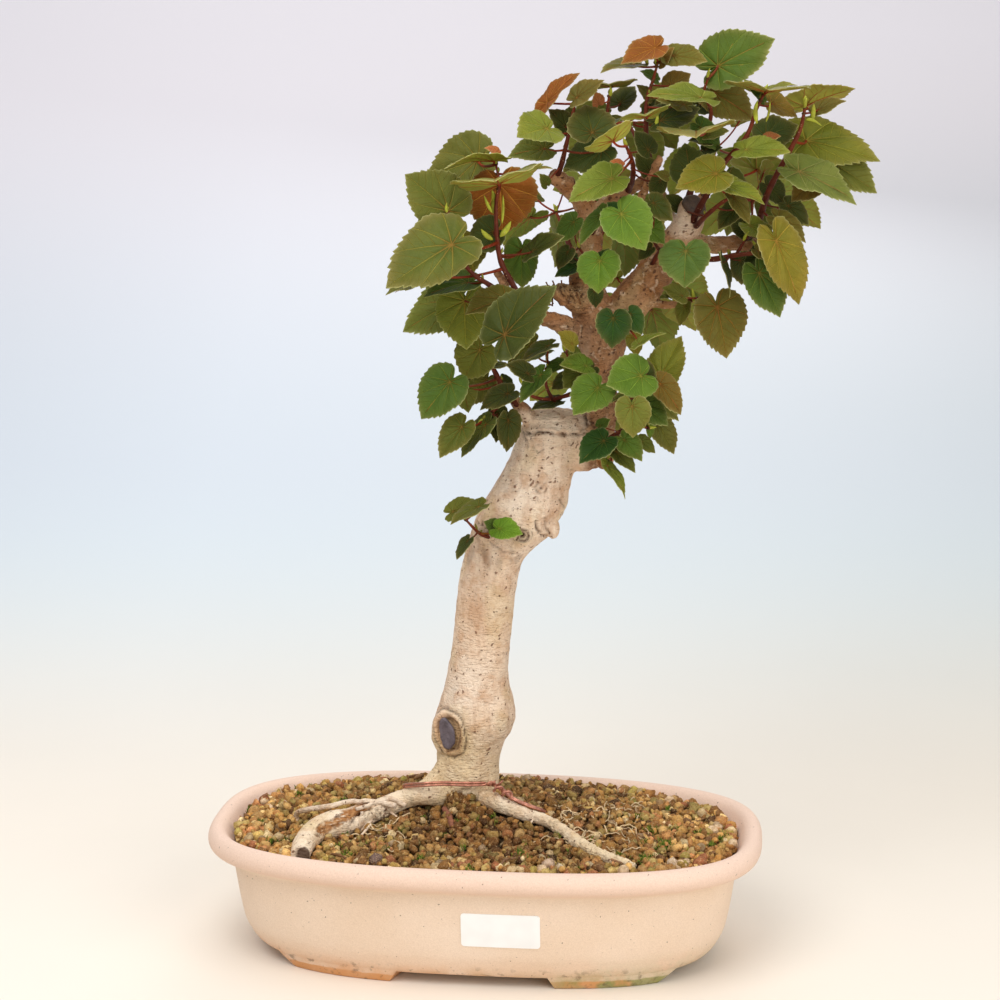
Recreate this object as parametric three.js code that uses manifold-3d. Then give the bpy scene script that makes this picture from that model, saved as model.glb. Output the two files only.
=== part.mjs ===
// Sea hibiscus bonsai: a leaning old trunk with two cut-back arms and many leafy shoots,
// standing on spread roots in an oval unglazed pot filled with fired-clay grains.
// Units are millimetres, +Z is up, +X is the pot's length and the front faces -Y.
import * as THREE from 'three';
import Module from 'manifold-3d';

const wasm = await Module();
wasm.setup();

// Pot
const potLength = 300;
const potWidth = 170;
const potHeight = 70;
const potRoundness = 2.8; // power of the plan's oval, 2 is an ellipse
const floorUnder = 7; // underside above the ground
const floorTop = 13;
const drainHoleRadius = 8;
const drainHoleOut = 62;
const wireHoleRadius = 1.9;
const around = 28; // facets round the pot and the soil

// Pot wall from the base edge over the lip to the floor: inset from the rim at the ends,
// height, inset at the long sides, which stand steeper
const potProfile = [
  [37, floorUnder, 27], [27.5, 8, 19.5], [20.5, 14.5, 16.2], [17, 25, 13.4], [13.2, 52, 9.8],
  [3, 58.5, 3], [0, 63.5, 0], [1.6, 67.8, 1.6], [5, potHeight, 5], [9.6, 67, 9.6],
  [19.5, 50, 16.5], [23, 33, 19.5], [28.5, 19.5, 23.5], [38, floorTop, 32],
];
const footIn = [28.5, 20.5]; // insets of a foot's outer edge from the rim, at the ends and sides
const footBand = 15;
const footStart = 14; // angle from the middle of the long side to a foot's first end
const footEnd = 66;

// Soil
const soilEdge = 65;
const soilRise = 13.5; // of the mound at the trunk over the soil at the rim
const soilReach = [78, 46]; // how far the mound spreads along and across
const grainRelief = 1.1;
const soilInnerRings = 4;

// Clearances
const gap = 0.35;
const blade = 0.8; // leaf thickness
const petiole = 0.7; // leaf stalk radius
const stalkElbow = 1.6; // how far a stalk leaves the blade before it bends away
const rootTaper = 0.4; // stalk thickness inside the stem
const leafBig = 19; // from this length a leaf's edge has more corners
const leafAnglesBig = [22, 56, 98, 142];
const leafAnglesSmall = [30, 82, 138];

// Front view: places on the plant are read in a square view a thousand units wide
const viewDistance = 1200;
const viewZoom = 2268; // units of the view for a slope of one
const viewPitch = 11.3; // degrees down
const viewYaw = -6.5;
const viewAim = [8, 0, 247.5];
const treeFoot = [-6, 22, 80]; // where the trunk stands

// Trunk sections in the front view: height, left edge, right edge
const trunkSections = [
  [801, 436, 497], [785, 433, 499.5], [760, 437, 499.5], [740, 436, 504], [726, 435, 513],
  [712, 436, 515.5], [694, 443, 512], [675, 447, 508], [640, 452, 510], [580, 460, 518],
  [548, 466, 533], [532, 471, 552], [514, 477, 562], [495, 488, 569], [465, 505.6, 577],
  [436, 517, 583], [420, 524, 584], [413, 532, 578],
];
// Buried foot of the trunk: height and radius
const trunkPlug = [[66, 15], [46, 9], [27, 4]];

// Limbs in the front view: x, y, nearness in mm, radius in view units
const limbs = {
  crotch: [[566, 452, -2, 20], [588, 448, 0, 24], [603, 452, 2, 18], [613, 458, 4, 11]],
  crotchStub: [[598, 456, 4, 9], [604, 461, 14, 8], [605, 462, 20, 6]],
  second: [[580, 455, -2, 18], [592, 436, 0, 21], [599, 412, 0, 18], [601, 390, 0, 16],
    [599, 366, 0, 19], [602, 342, 0, 25], [607, 318, 0, 30], [610, 304, 0, 22]],
  leftArm: [[600, 330, 0, 22], [589, 300, 3, 19], [585, 270, 2, 15], [591, 238, -2, 12],
    [586, 208, -4, 10.5], [572, 190, 0, 9.5], [551, 174, 6, 7.5]],
  brokenStub: [[596, 312, 4, 13], [574, 299, 11, 11], [556, 291, 14, 8]],
  lowStub: [[588, 335, 6, 11], [562, 324, 14, 9.5], [543, 317, 19, 7.5]],
  cutBranch: [[556, 322, 15, 7], [532, 311, 25, 6], [514, 299, 31, 5], [496, 271, 34, 4.4]],
  rightArm: [[611, 326, 0, 22], [628, 306, 0, 20], [648, 282, 0, 19], [670, 252, -2, 17.5],
    [687, 226, 0, 15.5], [694, 206, 2, 13.5]],
  rightBranch: [[684, 240, -4, 11], [712, 245, -6, 9], [742, 243, -2, 7.5], [768, 250, 4, 6]],
  rightTwig: [[642, 300, 2, 6], [668, 305, 4, 3.4], [690, 302, 6, 2.8]],
  topBranch: [[589, 222, -4, 10], [608, 203, -10, 8], [632, 188, -10, 6.5], [656, 174, -6, 5]],
  topStub: [[612, 202, -10, 5], [610, 176, -8, 5], [609, 150, -8, 5]],
  paleStick: [[628, 222, -2, 4.6], [636, 207, 8, 4.4], [649, 182, 14, 4.2], [661, 156, 17, 4]],
  innerTwig: [[676, 222, -4, 4], [668, 206, -6, 3.4], [661, 190, -7, 2.8]],
  shoulderTwig: [[534, 424, 4, 9], [521, 408, 9, 7], [513, 398, 11, 5]],
  backLeft: [[596, 312, -8, 12], [584, 285, -28, 8.5], [570, 250, -46, 6]],
  backRight: [[664, 262, -8, 11], [684, 228, -28, 8], [704, 196, -48, 5.5]],
  backLow: [[601, 360, -8, 10], [618, 342, -28, 6.5], [632, 322, -46, 4.5]],
};

// Roots in the front view: x, y, height over the ground in mm, radius in view units
const roots = {
  left: [[448, 795, 80, 12], [424, 794, 82.5, 11], [404, 799, 79, 10], [388, 806, 76.5, 10.5],
    [369, 813, 74.5, 11.5], [350, 821, 72.7, 13.5], [331, 826, 71.5, 14.5], [315, 832, 70.3, 13],
    [304, 844, 69.1, 11.5], [300, 856, 67.5, 10]],
  leftOver: [[396, 806, 79.5, 3], [378, 802, 81, 2.6], [350, 801.5, 82, 2.4], [329, 806, 80.5, 2.6],
    [308, 809.5, 76, 2.8], [297, 813, 71.5, 2.6], [297, 822, 66, 2.6]],
  leftHair: [[372, 820, 72.5, 2], [362, 830, 69, 1.5], [360, 838, 63, 1.4]],
  right: [[477, 794, 80, 10], [500, 804, 79.5, 8.5], [524, 814, 76.3, 7], [545, 820, 74.1, 6],
    [562, 830, 71.7, 6], [582, 845, 68.9, 5.5], [602, 855, 67.3, 4.5], [620, 862, 66.2, 3.6],
    [633, 868, 63.5, 3]],
};
// Buried roots in mm: x, y, height, radius
const buriedRoots = {
  back: [[-6, 24, 73, 9], [4, 44, 60, 5.5], [10, 58, 46, 3]],
  side: [[-8, 24, 73, 9], [-30, 40, 60, 5], [-48, 48, 46, 3]],
};

// Knots on the trunk in the front view: x, y, nearness, size in mm across, up and deep
const knots = {
  ring: [522, 535, 20, 6.2, 6.2, 4],
  lump: [553, 528, 11, 3.6, 6.4, 4],
  hub: [489, 533, 14, 7, 5, 6],
  shoulder: [551, 417, 3, 14, 5, 12],
  collar: [446, 733, 12.5, 8.4, 12.8, 4.6],
};

// Wounds closed with sealing paste: x, y, nearness, half size across and up, slant in degrees
const lowerWound = { at: [446, 733], near: 15.6, half: [5.2, 9], slant: 15, turn: -24 };
const topCut = { at: [694.5, 199], half: [6, 6], thick: 0.9 };
const sealThick = 1;

// Stems of the leafy shoots in the front view: x, y, nearness, radius in mm
const stems = {
  shoot_left_tall: [[[510, 292, 32, 2], [518, 299, 35.5, 2], [514, 287, 37.5, 1.9],
    [501, 262, 38, 1.7], [497, 236, 38, 1.5], [496, 205, 37, 1.3], [499, 184, 38, 1.1],
    [496, 164, 35, 0.9]]],
  shoot_left_long: [[[514, 303, 31, 1.8], [501, 293, 40, 1.7], [488, 284, 43, 1.6],
    [472, 273, 45, 1.4], [458, 254, 47, 1.2], [450, 232, 47, 1], [448, 213, 49, 0.8]]],
  shoot_left_low: [[[524, 412, 8, 2.2], [509, 396, 15, 2], [498, 378, 19, 1.8],
    [484, 350, 23, 1.4], [473, 336, 24, 1]],
  [[509, 396, 15, 1.6], [494, 410, 20, 1.4], [484, 420, 23, 1]]],
  shoot_shoulder: [[[596, 382, 4, 1.6], [576, 392, 14, 1.5], [552, 399, 18, 1.3],
    [532, 396, 20, 1.2], [524, 384, 20, 1]],
  [[552, 399, 18, 1.2], [546, 384, 22, 1], [548, 362, 26, 0.9]]],
  shoot_fork_left: [[[598, 384, 4, 1.6], [584, 376, 16, 1.4], [572, 366, 22, 1.1],
    [566, 352, 24, 0.9]]],
  shoot_knob: [[[500, 540, 8, 1.5], [488, 537, 19, 1.4], [478, 532, 24, 1.2], [466, 520, 28, 0.9]]],
  shoot_top_left: [[[556, 178, 6, 1.8], [561, 166, 10, 1.7], [565, 150, 12, 1.5],
    [570, 128, 11, 1.3], [575, 104, 10, 1]]],
  shoot_top_inner: [[[611, 156, -8, 1.7], [609, 142, 0, 1.5], [607, 120, 5, 1.3],
    [609, 96, 8, 1]]],
  shoot_top_middle: [[[652, 178, -7, 2], [649, 158, -4, 1.9], [646, 128, -1, 1.6],
    [647, 100, 0, 1.4], [653, 80, 0, 1.2], [658, 62, 1, 0.9]]],
  shoot_top_front: [[[628, 192, -9, 2], [633, 176, 6, 1.8], [632, 160, 16, 1.5],
    [626, 146, 22, 1.2]]],
  shoot_top_right: [[[684, 216, -4, 2.2], [694, 178, -12, 2], [704, 146, -10, 1.7],
    [711, 112, -6, 1.4], [704, 94, -4, 1.2], [708, 78, -1, 0.9]]],
  shoot_right_high: [[[692, 222, 6, 2.2], [708, 192, 17, 2], [722, 166, 20, 1.9],
    [746, 137, 22, 1.6], [757, 108, 24, 1.3], [764, 94, 25, 1]]],
  shoot_right_far: [[[752, 244, -6, 2.2], [760, 218, -2, 2.1], [769, 190, 9, 2],
    [789, 152, 13, 1.8], [800, 130, 14, 1.5], [805, 108, 15, 1.2]]],
  shoot_right_mid: [[[696, 226, 8, 1.8], [706, 216, 21, 1.6], [720, 204, 27, 1.4],
    [731, 197, 31, 1]]],
  shoot_right_low: [[[698, 246, -4, 2], [708, 259, 8, 1.9], [736, 255, 15, 1.7],
    [757, 252, 19, 1.4], [772, 243, 22, 1]],
  [[736, 255, 15, 1.1], [745, 240, 18, 0.9]]],
  shoot_twig: [[[684, 303, 5, 1.5], [694, 299, 8, 1.2], [700, 298, 11, 1]]],
  shoot_arm_right: [[[650, 268, 4, 1.5], [660, 251, 18, 1.4], [671, 246, 30, 1.2]],
    [[660, 251, 18, 1.1], [650, 236, 22, 0.9]]],
  shoot_arm_left: [[[590, 236, 0, 1.5], [599, 224, 14, 1.3], [608, 217, 26, 1.1]]],
  shoot_arm_low: [[[585, 272, 6, 1.5], [591, 264, 17, 1.4], [597, 260, 27, 1.1]],
    [[591, 264, 17, 1.1], [579, 248, 19, 0.9]]],
  shoot_mid_right: [[[602, 398, 4, 1.7], [626, 400, 14, 1.6], [646, 393, 21, 1.4],
    [659, 383, 22, 1.1]]],
  shoot_crotch: [[[600, 446, 4, 1.7], [616, 434, 16, 1.5], [634, 426, 22, 1.3],
    [648, 428, 22, 1]],
  [[616, 434, 16, 1.2], [622, 446, 22, 1.1], [612, 456, 22, 0.9]]],
  shoot_fork_front: [[[606, 340, 8, 1.5], [617, 332, 20, 1.3], [626, 326, 26, 1]]],
};

// Leaves of each shoot in the front view: stalk end x, y, tip x, y, nearness and reach of the tip
// toward the viewer in mm, turn of the face from the viewer in degrees, width over length
const leaves = {
  shoot_left_tall: {
    fan: [494, 161, 444, 158, 36, 6, 98, 0.8],
    roof: [499, 184, 492, 168, 42, 36, 168, 1.12], bronze: [500, 185, 504, 238, 31, -4, 12, 1.2],
    behind: [478, 160, 424, 175, 24, -4, 30, 1], big: [452, 245, 384, 283, 62, 10, 40, 0.95],
    under: [437, 275, 384, 290, 50, 4, 74, 0.9], round: [494, 232, 466, 246, 22, -2, 25, 1.1],
    lance: [506, 300, 466, 308, 54, 12, 50, 0.85], dark: [505, 335, 550, 282, 45, 4, 35, 0.8],
    deep: [522, 250, 520, 290, 22, -4, 20, 0.8], tooth: [532, 252, 561, 232, 36, 5, 60, 0.8],
  },
  shoot_left_long: {
    face: [448, 211, 408, 173, 54, 6, 25, 1.05], olive: [447, 232, 406, 238, 38, -4, 25, 0.9],
    gold: [470, 250, 440, 282, 40, 0, 35, 1], brow: [468, 283, 423, 290, 53, 6, 62, 0.8],
    tail: [455, 302, 400, 328, 33, 0, 30, 0.8], rib: [465, 301, 464, 349, 57, 7, 22, 1.1],
  },
  shoot_left_low: {
    outer: [450, 382, 419, 417, 36, 4, 22, 0.95], round: [480, 350, 462, 379, 30, 2, 18, 1.2],
    pair: [461, 387, 471, 411, 31, 4, 28, 1], inner: [486, 380, 468, 404, 22, 0, 30, 1],
    dark: [508, 394, 479, 406, 27, 4, 45, 0.85], low: [462, 427, 438, 456, 32, 6, 30, 0.8],
    narrow: [486, 425, 458, 454, 27, 4, 52, 0.7], hang: [497, 414, 498, 443, 20, 2, 30, 0.8],
    back: [508, 420, 510, 453, 4, 0, 30, 0.75],
  },
  shoot_shoulder: {
    strap: [549, 346, 521, 356, 34, 4, 62, 0.75], pale: [546, 352, 520, 360, 24, 0, 66, 0.8],
    wide: [532, 345, 505, 362, 15, 0, 35, 0.9], near: [528, 374, 508, 362, 24, 4, 45, 0.9],
    drop: [541, 375, 518, 400, 38, 6, 35, 0.6], hidden: [556, 402, 531, 407, 2, 4, 60, 0.8],
    left: [568, 378, 551, 388, 18, 0, 35, 0.9],
  },
  shoot_fork_left: {
    gold: [572, 344, 560, 331, 27, 3, 40, 1],
    bright: [586, 366, 562, 361, 35, 6, 45, 0.85], round: [582, 372, 563, 387, 33, 5, 25, 1.1],
    dark: [592, 369, 578, 379, 25, 3, 30, 1], front: [598, 388, 573, 413, 35, 10, 25, 1],
  },
  shoot_knob: {
    upper: [453, 512, 478, 500, 27, 4, 38, 0.75], flat: [479, 507, 449, 520, 33, 5, 60, 0.75],
    low: [468, 541, 455, 558, 29, 4, 50, 0.7],
    bright: [499, 529, 522, 532, 30, 6, 35, 0.95],
  },
  shoot_top_left: {
    folded: [547, 129, 518, 133, 22, 10, 50, 1.35], sheet: [592, 133, 586, 103, 20, -6, 15, 1.4],
    flame: [547, 103, 573, 68, 8, 2, 60, 0.6], crest: [577, 98, 602, 78, 12, 4, 50, 0.8],
    side: [544, 149, 508, 152, 10, 4, 40, 0.8],
    shade: [602, 150, 563, 166, 4, 0, 30, 0.9],
  },
  shoot_top_inner: {
    roof: [611, 87, 608, 78, 12, 22, 165, 1.1],
    edge: [603, 128, 627, 115, 12, 4, 82, 0.75], back: [620, 104, 634, 84, -14, -4, 35, 1],
  },
  shoot_top_middle: {
    crown: [655, 48, 620, 60, 6, 4, 48, 0.85], left: [634, 65, 601, 66, 6, 8, 76, 0.9],
     right: [673, 56, 707, 58, 6, 6, 40, 0.75],
    olive: [671, 86, 690, 72, -4, 0, 30, 1], long: [701, 98, 650, 87, 18, 8, 66, 0.6],
    under: [684, 105, 658, 96, 8, 2, 50, 0.75], roof: [647, 117, 643, 108, 24, 22, 170, 1],
    dark: [660, 121, 700, 106, 4, -2, 40, 0.8], slip: [650, 172, 636, 152, 4, 0, 25, 0.8],
  },
  shoot_top_front: {
    roof: [613, 141, 601, 130, 28, 22, 165, 1], pale: [612, 179, 568, 196, 43, 6, 40, 0.8],
     dark: [661, 180, 650, 204, 22, 0, 30, 0.7],
     shade: [648, 150, 636, 130, 12, 0, 30, 0.9],
  },
  shoot_top_right: {
    high: [718, 66, 773, 35, 2, 4, 22, 0.85], olive: [714, 93, 756, 116, 2, 2, 25, 0.85],
    roof: [697, 133, 695, 124, 18, 30, 172, 1.15], round: [690, 174, 686, 143, 18, 0, 10, 1.2],
    small: [700, 128, 722, 150, 8, 0, 30, 0.75], back: [700, 104, 728, 92, -16, -6, 30, 0.9],
  },
  shoot_right_high: {
    wing: [766, 92, 770, 82, 27, 34, 162, 1.1], bronze: [772, 104, 800, 113, 14, -4, 50, 0.9],
    dark: [766, 136, 799, 122, 4, -4, 30, 0.9], bright: [746, 150, 789, 146, 42, 8, 50, 0.65],
  },
  shoot_right_far: {
    tip: [805, 106, 853, 82, 16, 10, 112, 1.1], spear: [806, 141, 882, 154, 12, 6, 40, 0.66],
    lower: [826, 160, 881, 189, 2, 0, 35, 0.64], grey: [799, 172, 860, 195, 28, 8, 50, 0.7],
    bronze: [818, 178, 789, 200, 6, -2, 30, 0.9], dark: [768, 186, 788, 204, 0, 0, 30, 0.85],
    hang: [788, 206, 810, 224, 0, 2, 35, 0.8], last: [778, 220, 808, 239, 10, 4, 40, 0.7],
  },
  shoot_right_mid: {
    gold: [716, 174, 677, 184, 46, 8, 30, 0.9], bright: [724, 184, 766, 198, 48, 8, 56, 0.6],
    olive: [733, 197, 752, 222, 34, 4, 45, 0.65], dark: [735, 209, 716, 228, 22, 0, 30, 0.8],
  },
  shoot_right_low: {
    heart: [759, 273, 783, 316, 28, 4, 25, 0.8], gold: [776, 241, 804, 303, 25, 4, 28, 0.64],
    edge: [722, 262, 735, 296, 22, 2, 78, 0.6], dark: [740, 260, 744, 285, 12, 0, 35, 1.05],
    light: [750, 226, 778, 242, 26, 6, 45, 0.75], back: [762, 252, 742, 268, 6, 0, 40, 0.8],
    bit: [758, 251, 775, 261, 22, 2, 45, 0.9], shade: [748, 232, 729, 218, 10, 0, 30, 0.9],
    slim: [762, 208, 774, 234, 14, 0, 35, 0.65],
  },
  shoot_twig: {
    holed: [717, 307, 729, 358, 17, 4, 20, 0.95], small: [685, 306, 678, 325, 12, 2, 35, 0.8],
    bit: [682, 296, 664, 286, 10, 2, 40, 0.9],
  },
  shoot_arm_right: {
    round: [686, 251, 683, 286, 42, 7, 15, 1.3], twin: [646, 226, 666, 242, 27, 3, 30, 0.95],
    dark: [650, 249, 637, 259, 22, 0, 35, 0.85], shade: [653, 203, 674, 220, 16, 0, 30, 0.85],
  },
  shoot_arm_left: {
    bright: [621, 214, 647, 247, 42, 8, 22, 1.1], dark: [618, 215, 608, 202, 28, 2, 35, 1.2],
    slim: [602, 215, 577, 242, 36, 4, 50, 0.6],
  },
  shoot_arm_low: {
    bright: [600, 261, 597, 292, 42, 8, 18, 1.2], dark: [603, 262, 608, 248, 28, 0, 30, 1.15],
    low: [594, 291, 598, 308, 24, 0, 30, 0.95], left: [574, 222, 554, 242, 24, 0, 30, 0.8],
    bit: [568, 252, 556, 268, 24, 2, 35, 0.9],
  },
  shoot_mid_right: {
    olive: [661, 376, 680, 335, 24, -2, 20, 0.8], bright: [641, 376, 607, 384, 44, 10, 25, 1.1],
    dark: [646, 375, 636, 356, 22, 0, 25, 0.9], bronze: [660, 384, 684, 412, 28, 4, 35, 0.75],
    low: [652, 396, 681, 419, 18, 2, 40, 0.7], front: [641, 404, 669, 424, 34, 6, 30, 0.8],
    flat: [637, 394, 610, 397, 28, 2, 68, 0.9],
  },
  shoot_crotch: {
    brown: [632, 406, 634, 437, 36, 6, 15, 1.05], slim: [648, 420, 652, 440, 30, 2, 50, 0.6],
    far: [655, 420, 677, 453, 16, 2, 30, 0.7], low: [641, 441, 656, 452, 20, 2, 40, 0.85],
    heart: [624, 440, 643, 459, 34, 6, 25, 0.85], flat: [616, 452, 637, 471, 27, 3, 45, 0.75],
    strap: [607, 466, 631, 495, 22, 2, 58, 0.45], left: [604, 441, 579, 460, 40, 8, 30, 0.9],
  },
  shoot_fork_front: {
    dark: [613, 318, 613, 348, 36, 4, 15, 1.1], twin: [630, 314, 643, 334, 32, 3, 30, 0.9],
    gold: [632, 337, 640, 356, 22, 0, 30, 0.85], strap: [639, 344, 664, 330, 26, 4, 70, 0.6],
  },
};

// Shoots on the far side, each grown by rule: root, heart of the spray, leaf count, leaf length
const backShoots = {
  shoot_back_left: { root: [572, 254, -42], heart: [556, 212, -56], count: 6, leaf: 24, seed: 11 },
  shoot_back_top: { root: [652, 176, -8], heart: [628, 122, -38], count: 6, leaf: 24, seed: 23 },
  shoot_back_middle: { root: [585, 284, -29], heart: [612, 208, -62], count: 6, leaf: 25, seed: 37 },
  shoot_back_right: { root: [703, 198, -45], heart: [716, 148, -58], count: 7, leaf: 26, seed: 41 },
  shoot_back_far: { root: [699, 207, -42], heart: [752, 200, -48], count: 6, leaf: 24, seed: 53 },
  shoot_back_low: { root: [631, 324, -43], heart: [640, 290, -56], count: 6, leaf: 22, seed: 67 },
  shoot_back_shoulder: { root: [600, 400, -4], heart: [604, 378, -40], count: 5, leaf: 20, seed: 71 },
};
const backSpread = 34; // how far from the heart a back leaf's stalk ends, mm

// How leaves keep apart: two blades, blade and stalk, two stalks, and blades of one shoot
const apart = { blades: 5.4, bladeStalk: 4, stalks: 2.6, own: 3.6, limb: 2.2 };
const slideStep = 4;
const slideMost = 36;
const leafFold = 0.16; // how much the halves rise from the middle rib
const leafDroop = 0.14; // how much the tip hangs

// Small arithmetic on points
const vec = (x, y, z) => new THREE.Vector3(x, y, z);
const radians = (degrees) => (degrees * Math.PI) / 180;
const mix = (a, b, t) => a + (b - a) * t;

// The front view's eye and axes
const yaw = radians(viewYaw);
const pitch = radians(viewPitch);
const viewLevel = vec(Math.sin(yaw), Math.cos(yaw), 0);
const viewForward = vec(
  Math.sin(yaw) * Math.cos(pitch), Math.cos(yaw) * Math.cos(pitch), -Math.sin(pitch));
const viewRight = vec(Math.cos(yaw), -Math.sin(yaw), 0);
const viewUp = new THREE.Vector3().crossVectors(viewRight, viewForward);
const eye = vec(...viewAim).addScaledVector(viewForward, -viewDistance);

function ray(x, y) {
  return viewForward.clone().multiplyScalar(viewZoom)
    .addScaledVector(viewRight, x - 500)
    .addScaledVector(viewUp, 500 - y);
}

// Point seen at x, y that lies "near" mm in front of the upright plane through the trunk's foot
function seen(x, y, near) {
  const way = ray(x, y);
  const target = vec(...treeFoot).addScaledVector(viewLevel, -near);
  const t = target.sub(eye).dot(viewLevel) / way.dot(viewLevel);
  return eye.clone().addScaledVector(way, t);
}

// Point seen at x, y at a height over the ground
function seenAt(x, y, z) {
  const way = ray(x, y);
  return eye.clone().addScaledVector(way, (z - eye.z) / way.z);
}

// Length at a point that fills one unit of the view
function unitAt(point) {
  return point.clone().sub(eye).dot(viewForward) / viewZoom;
}

// Closed solid from points and triangles, faces turned out
function solidFrom(points, triangles) {
  let volume = 0;
  for (const [a, b, c] of triangles) {
    volume += points[a].dot(new THREE.Vector3().crossVectors(points[b], points[c]));
  }
  const vertProperties = new Float32Array(points.length * 3);
  points.forEach((p, i) => vertProperties.set([p.x, p.y, p.z], i * 3));
  const triVerts = new Uint32Array(triangles.length * 3);
  triangles.forEach(([a, b, c], i) => triVerts.set(volume < 0 ? [a, c, b] : [a, b, c], i * 3));
  return new wasm.Manifold(new wasm.Mesh({ numProp: 3, vertProperties, triVerts }));
}

// Rings of equal count joined into one closed solid with a middle point at each end
function loft(rings) {
  const count = rings[0].length;
  const points = rings.flat();
  const triangles = [];
  for (let r = 0; r + 1 < rings.length; r++) {
    for (let i = 0; i < count; i++) {
      const j = (i + 1) % count;
      const a = r * count;
      triangles.push([a + i, a + j, a + count + j], [a + i, a + count + j, a + count + i]);
    }
  }
  for (const [ring, start, flip] of [[rings[0], 0, true], [rings.at(-1), points.length - count, false]]) {
    const middle = points.length;
    const sum = ring.reduce((s, p) => s.add(p), vec(0, 0, 0));
    points.push(sum.multiplyScalar(1 / count));
    for (let i = 0; i < count; i++) {
      const j = (i + 1) % count;
      triangles.push(flip ? [start + j, start + i, middle] : [start + i, start + j, middle]);
    }
  }
  return solidFrom(points, triangles);
}

// Round bar along points, each with its own radius
function bar(points, radii, sides) {
  const rings = [];
  let side = null;
  points.forEach((point, i) => {
    const before = points[Math.max(i - 1, 0)];
    const after = points[Math.min(i + 1, points.length - 1)];
    const along = after.clone().sub(before).normalize();
    if (!side) {
      side = Math.abs(along.z) > 0.9 ? vec(1, 0, 0) : vec(0, 0, 1);
    }
    side = side.clone().addScaledVector(along, -side.dot(along)).normalize();
    const other = new THREE.Vector3().crossVectors(along, side);
    const ring = [];
    for (let k = 0; k < sides; k++) {
      const turn = (2 * Math.PI * k) / sides;
      ring.push(point.clone()
        .addScaledVector(side, radii[i] * Math.cos(turn))
        .addScaledVector(other, radii[i] * Math.sin(turn)));
    }
    rings.push(ring);
  });
  return loft(rings);
}

function join(solids) {
  return solids.reduce((sum, one) => sum.add(one));
}

// The largest body of a solid, without crumbs that a cut has left
function mainBody(solid) {
  const bodies = solid.decompose();
  return bodies.reduce((best, one) => (one.volume() > best.volume() ? one : best));
}

function mesh(name, solid, colour, roughness, metalness = 0) {
  const data = solid.getMesh();
  const geometry = new THREE.BufferGeometry();
  const places = new Float32Array(data.vertProperties.length);
  places.set(data.vertProperties);
  geometry.setAttribute('position', new THREE.BufferAttribute(places, 3));
  geometry.setIndex(new THREE.BufferAttribute(new Uint32Array(data.triVerts), 1));
  geometry.computeVertexNormals();
  const material = new THREE.MeshStandardMaterial({ color: colour, roughness, metalness });
  const node = new THREE.Mesh(geometry, material);
  node.name = name;
  return node;
}

// Oval plan of the pot at its insets from the rim
function plan(turn, endInset, sideInset = endInset) {
  const cos = Math.cos(turn);
  const sin = Math.sin(turn);
  const power = 2 / potRoundness;
  return [
    (potLength / 2 - endInset) * Math.sign(cos) * Math.abs(cos) ** power,
    (potWidth / 2 - sideInset) * Math.sign(sin) * Math.abs(sin) ** power,
  ];
}

function ovalRing(endInset, z, sideInset = endInset, share = 1) {
  const ring = [];
  for (let i = 0; i < around; i++) {
    const [x, y] = plan((2 * Math.PI * (i + 0.5)) / around, endInset, sideInset);
    ring.push(vec(x * share, y * share, z));
  }
  return ring;
}

function post(x, y, radius, low, high, sides) {
  return bar([vec(x, y, low), vec(x, y, high)], [radius, radius], sides);
}

// One foot under a corner of the pot, from the underside's edge inward
function foot(signX, signY) {
  const steps = 4;
  const rings = [];
  for (let i = 0; i <= steps; i++) {
    const turn = radians(mix(90 - footStart, 90 - footEnd, i / steps));
    const [outX, outY] = plan(turn, ...footIn);
    const [inX, inY] = plan(turn, ...footIn.map((inset) => inset + footBand));
    const ring = [
      [mix(outX, inX, 0.1), mix(outY, inY, 0.1), 0],
      [outX, outY, floorUnder + 1.5],
      [inX, inY, floorUnder + 1.5],
      [mix(outX, inX, 0.9), mix(outY, inY, 0.9), 0],
    ];
    rings.push(ring.map(([x, y, z]) => vec(x * signX, y * signY, z)));
  }
  return loft(rings);
}

// Soil height at a place, with clay grains as a small ripple
function soilHeight(x, y) {
  const dx = (x - treeFoot[0]) / soilReach[0];
  const dy = (y - treeFoot[1]) / soilReach[1];
  const ripple = Math.sin(x * 0.91 + 3 * Math.sin(y * 0.37)) * Math.cos(y * 1.07 - x * 0.23);
  return soilEdge + soilRise * Math.exp(-dx * dx - dy * dy) + grainRelief * ripple;
}

function soilBody() {
  const rings = [];
  potProfile.slice(-4).reverse().forEach(([end, z, side], i) => {
    rings.push(ovalRing(end + gap * 1.3, i === 0 ? z + gap : z + gap * 0.6, side + gap * 1.3));
  });
  const [lip, wall] = potProfile.slice(-5);
  const [rimEnd, , rimSide] = lip.map((value, i) => mix(value, wall[i], 0.3) + gap * 1.4);
  rings.push(ovalRing(rimEnd, soilEdge - 1, rimSide));
  for (let r = soilInnerRings; r >= 1; r--) {
    const share = 0.985 * (r / (soilInnerRings + 0.35));
    rings.push(ovalRing(rimEnd, 0, rimSide, share).map((p) => vec(p.x, p.y, soilHeight(p.x, p.y))));
  }
  return loft(rings);
}

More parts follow.
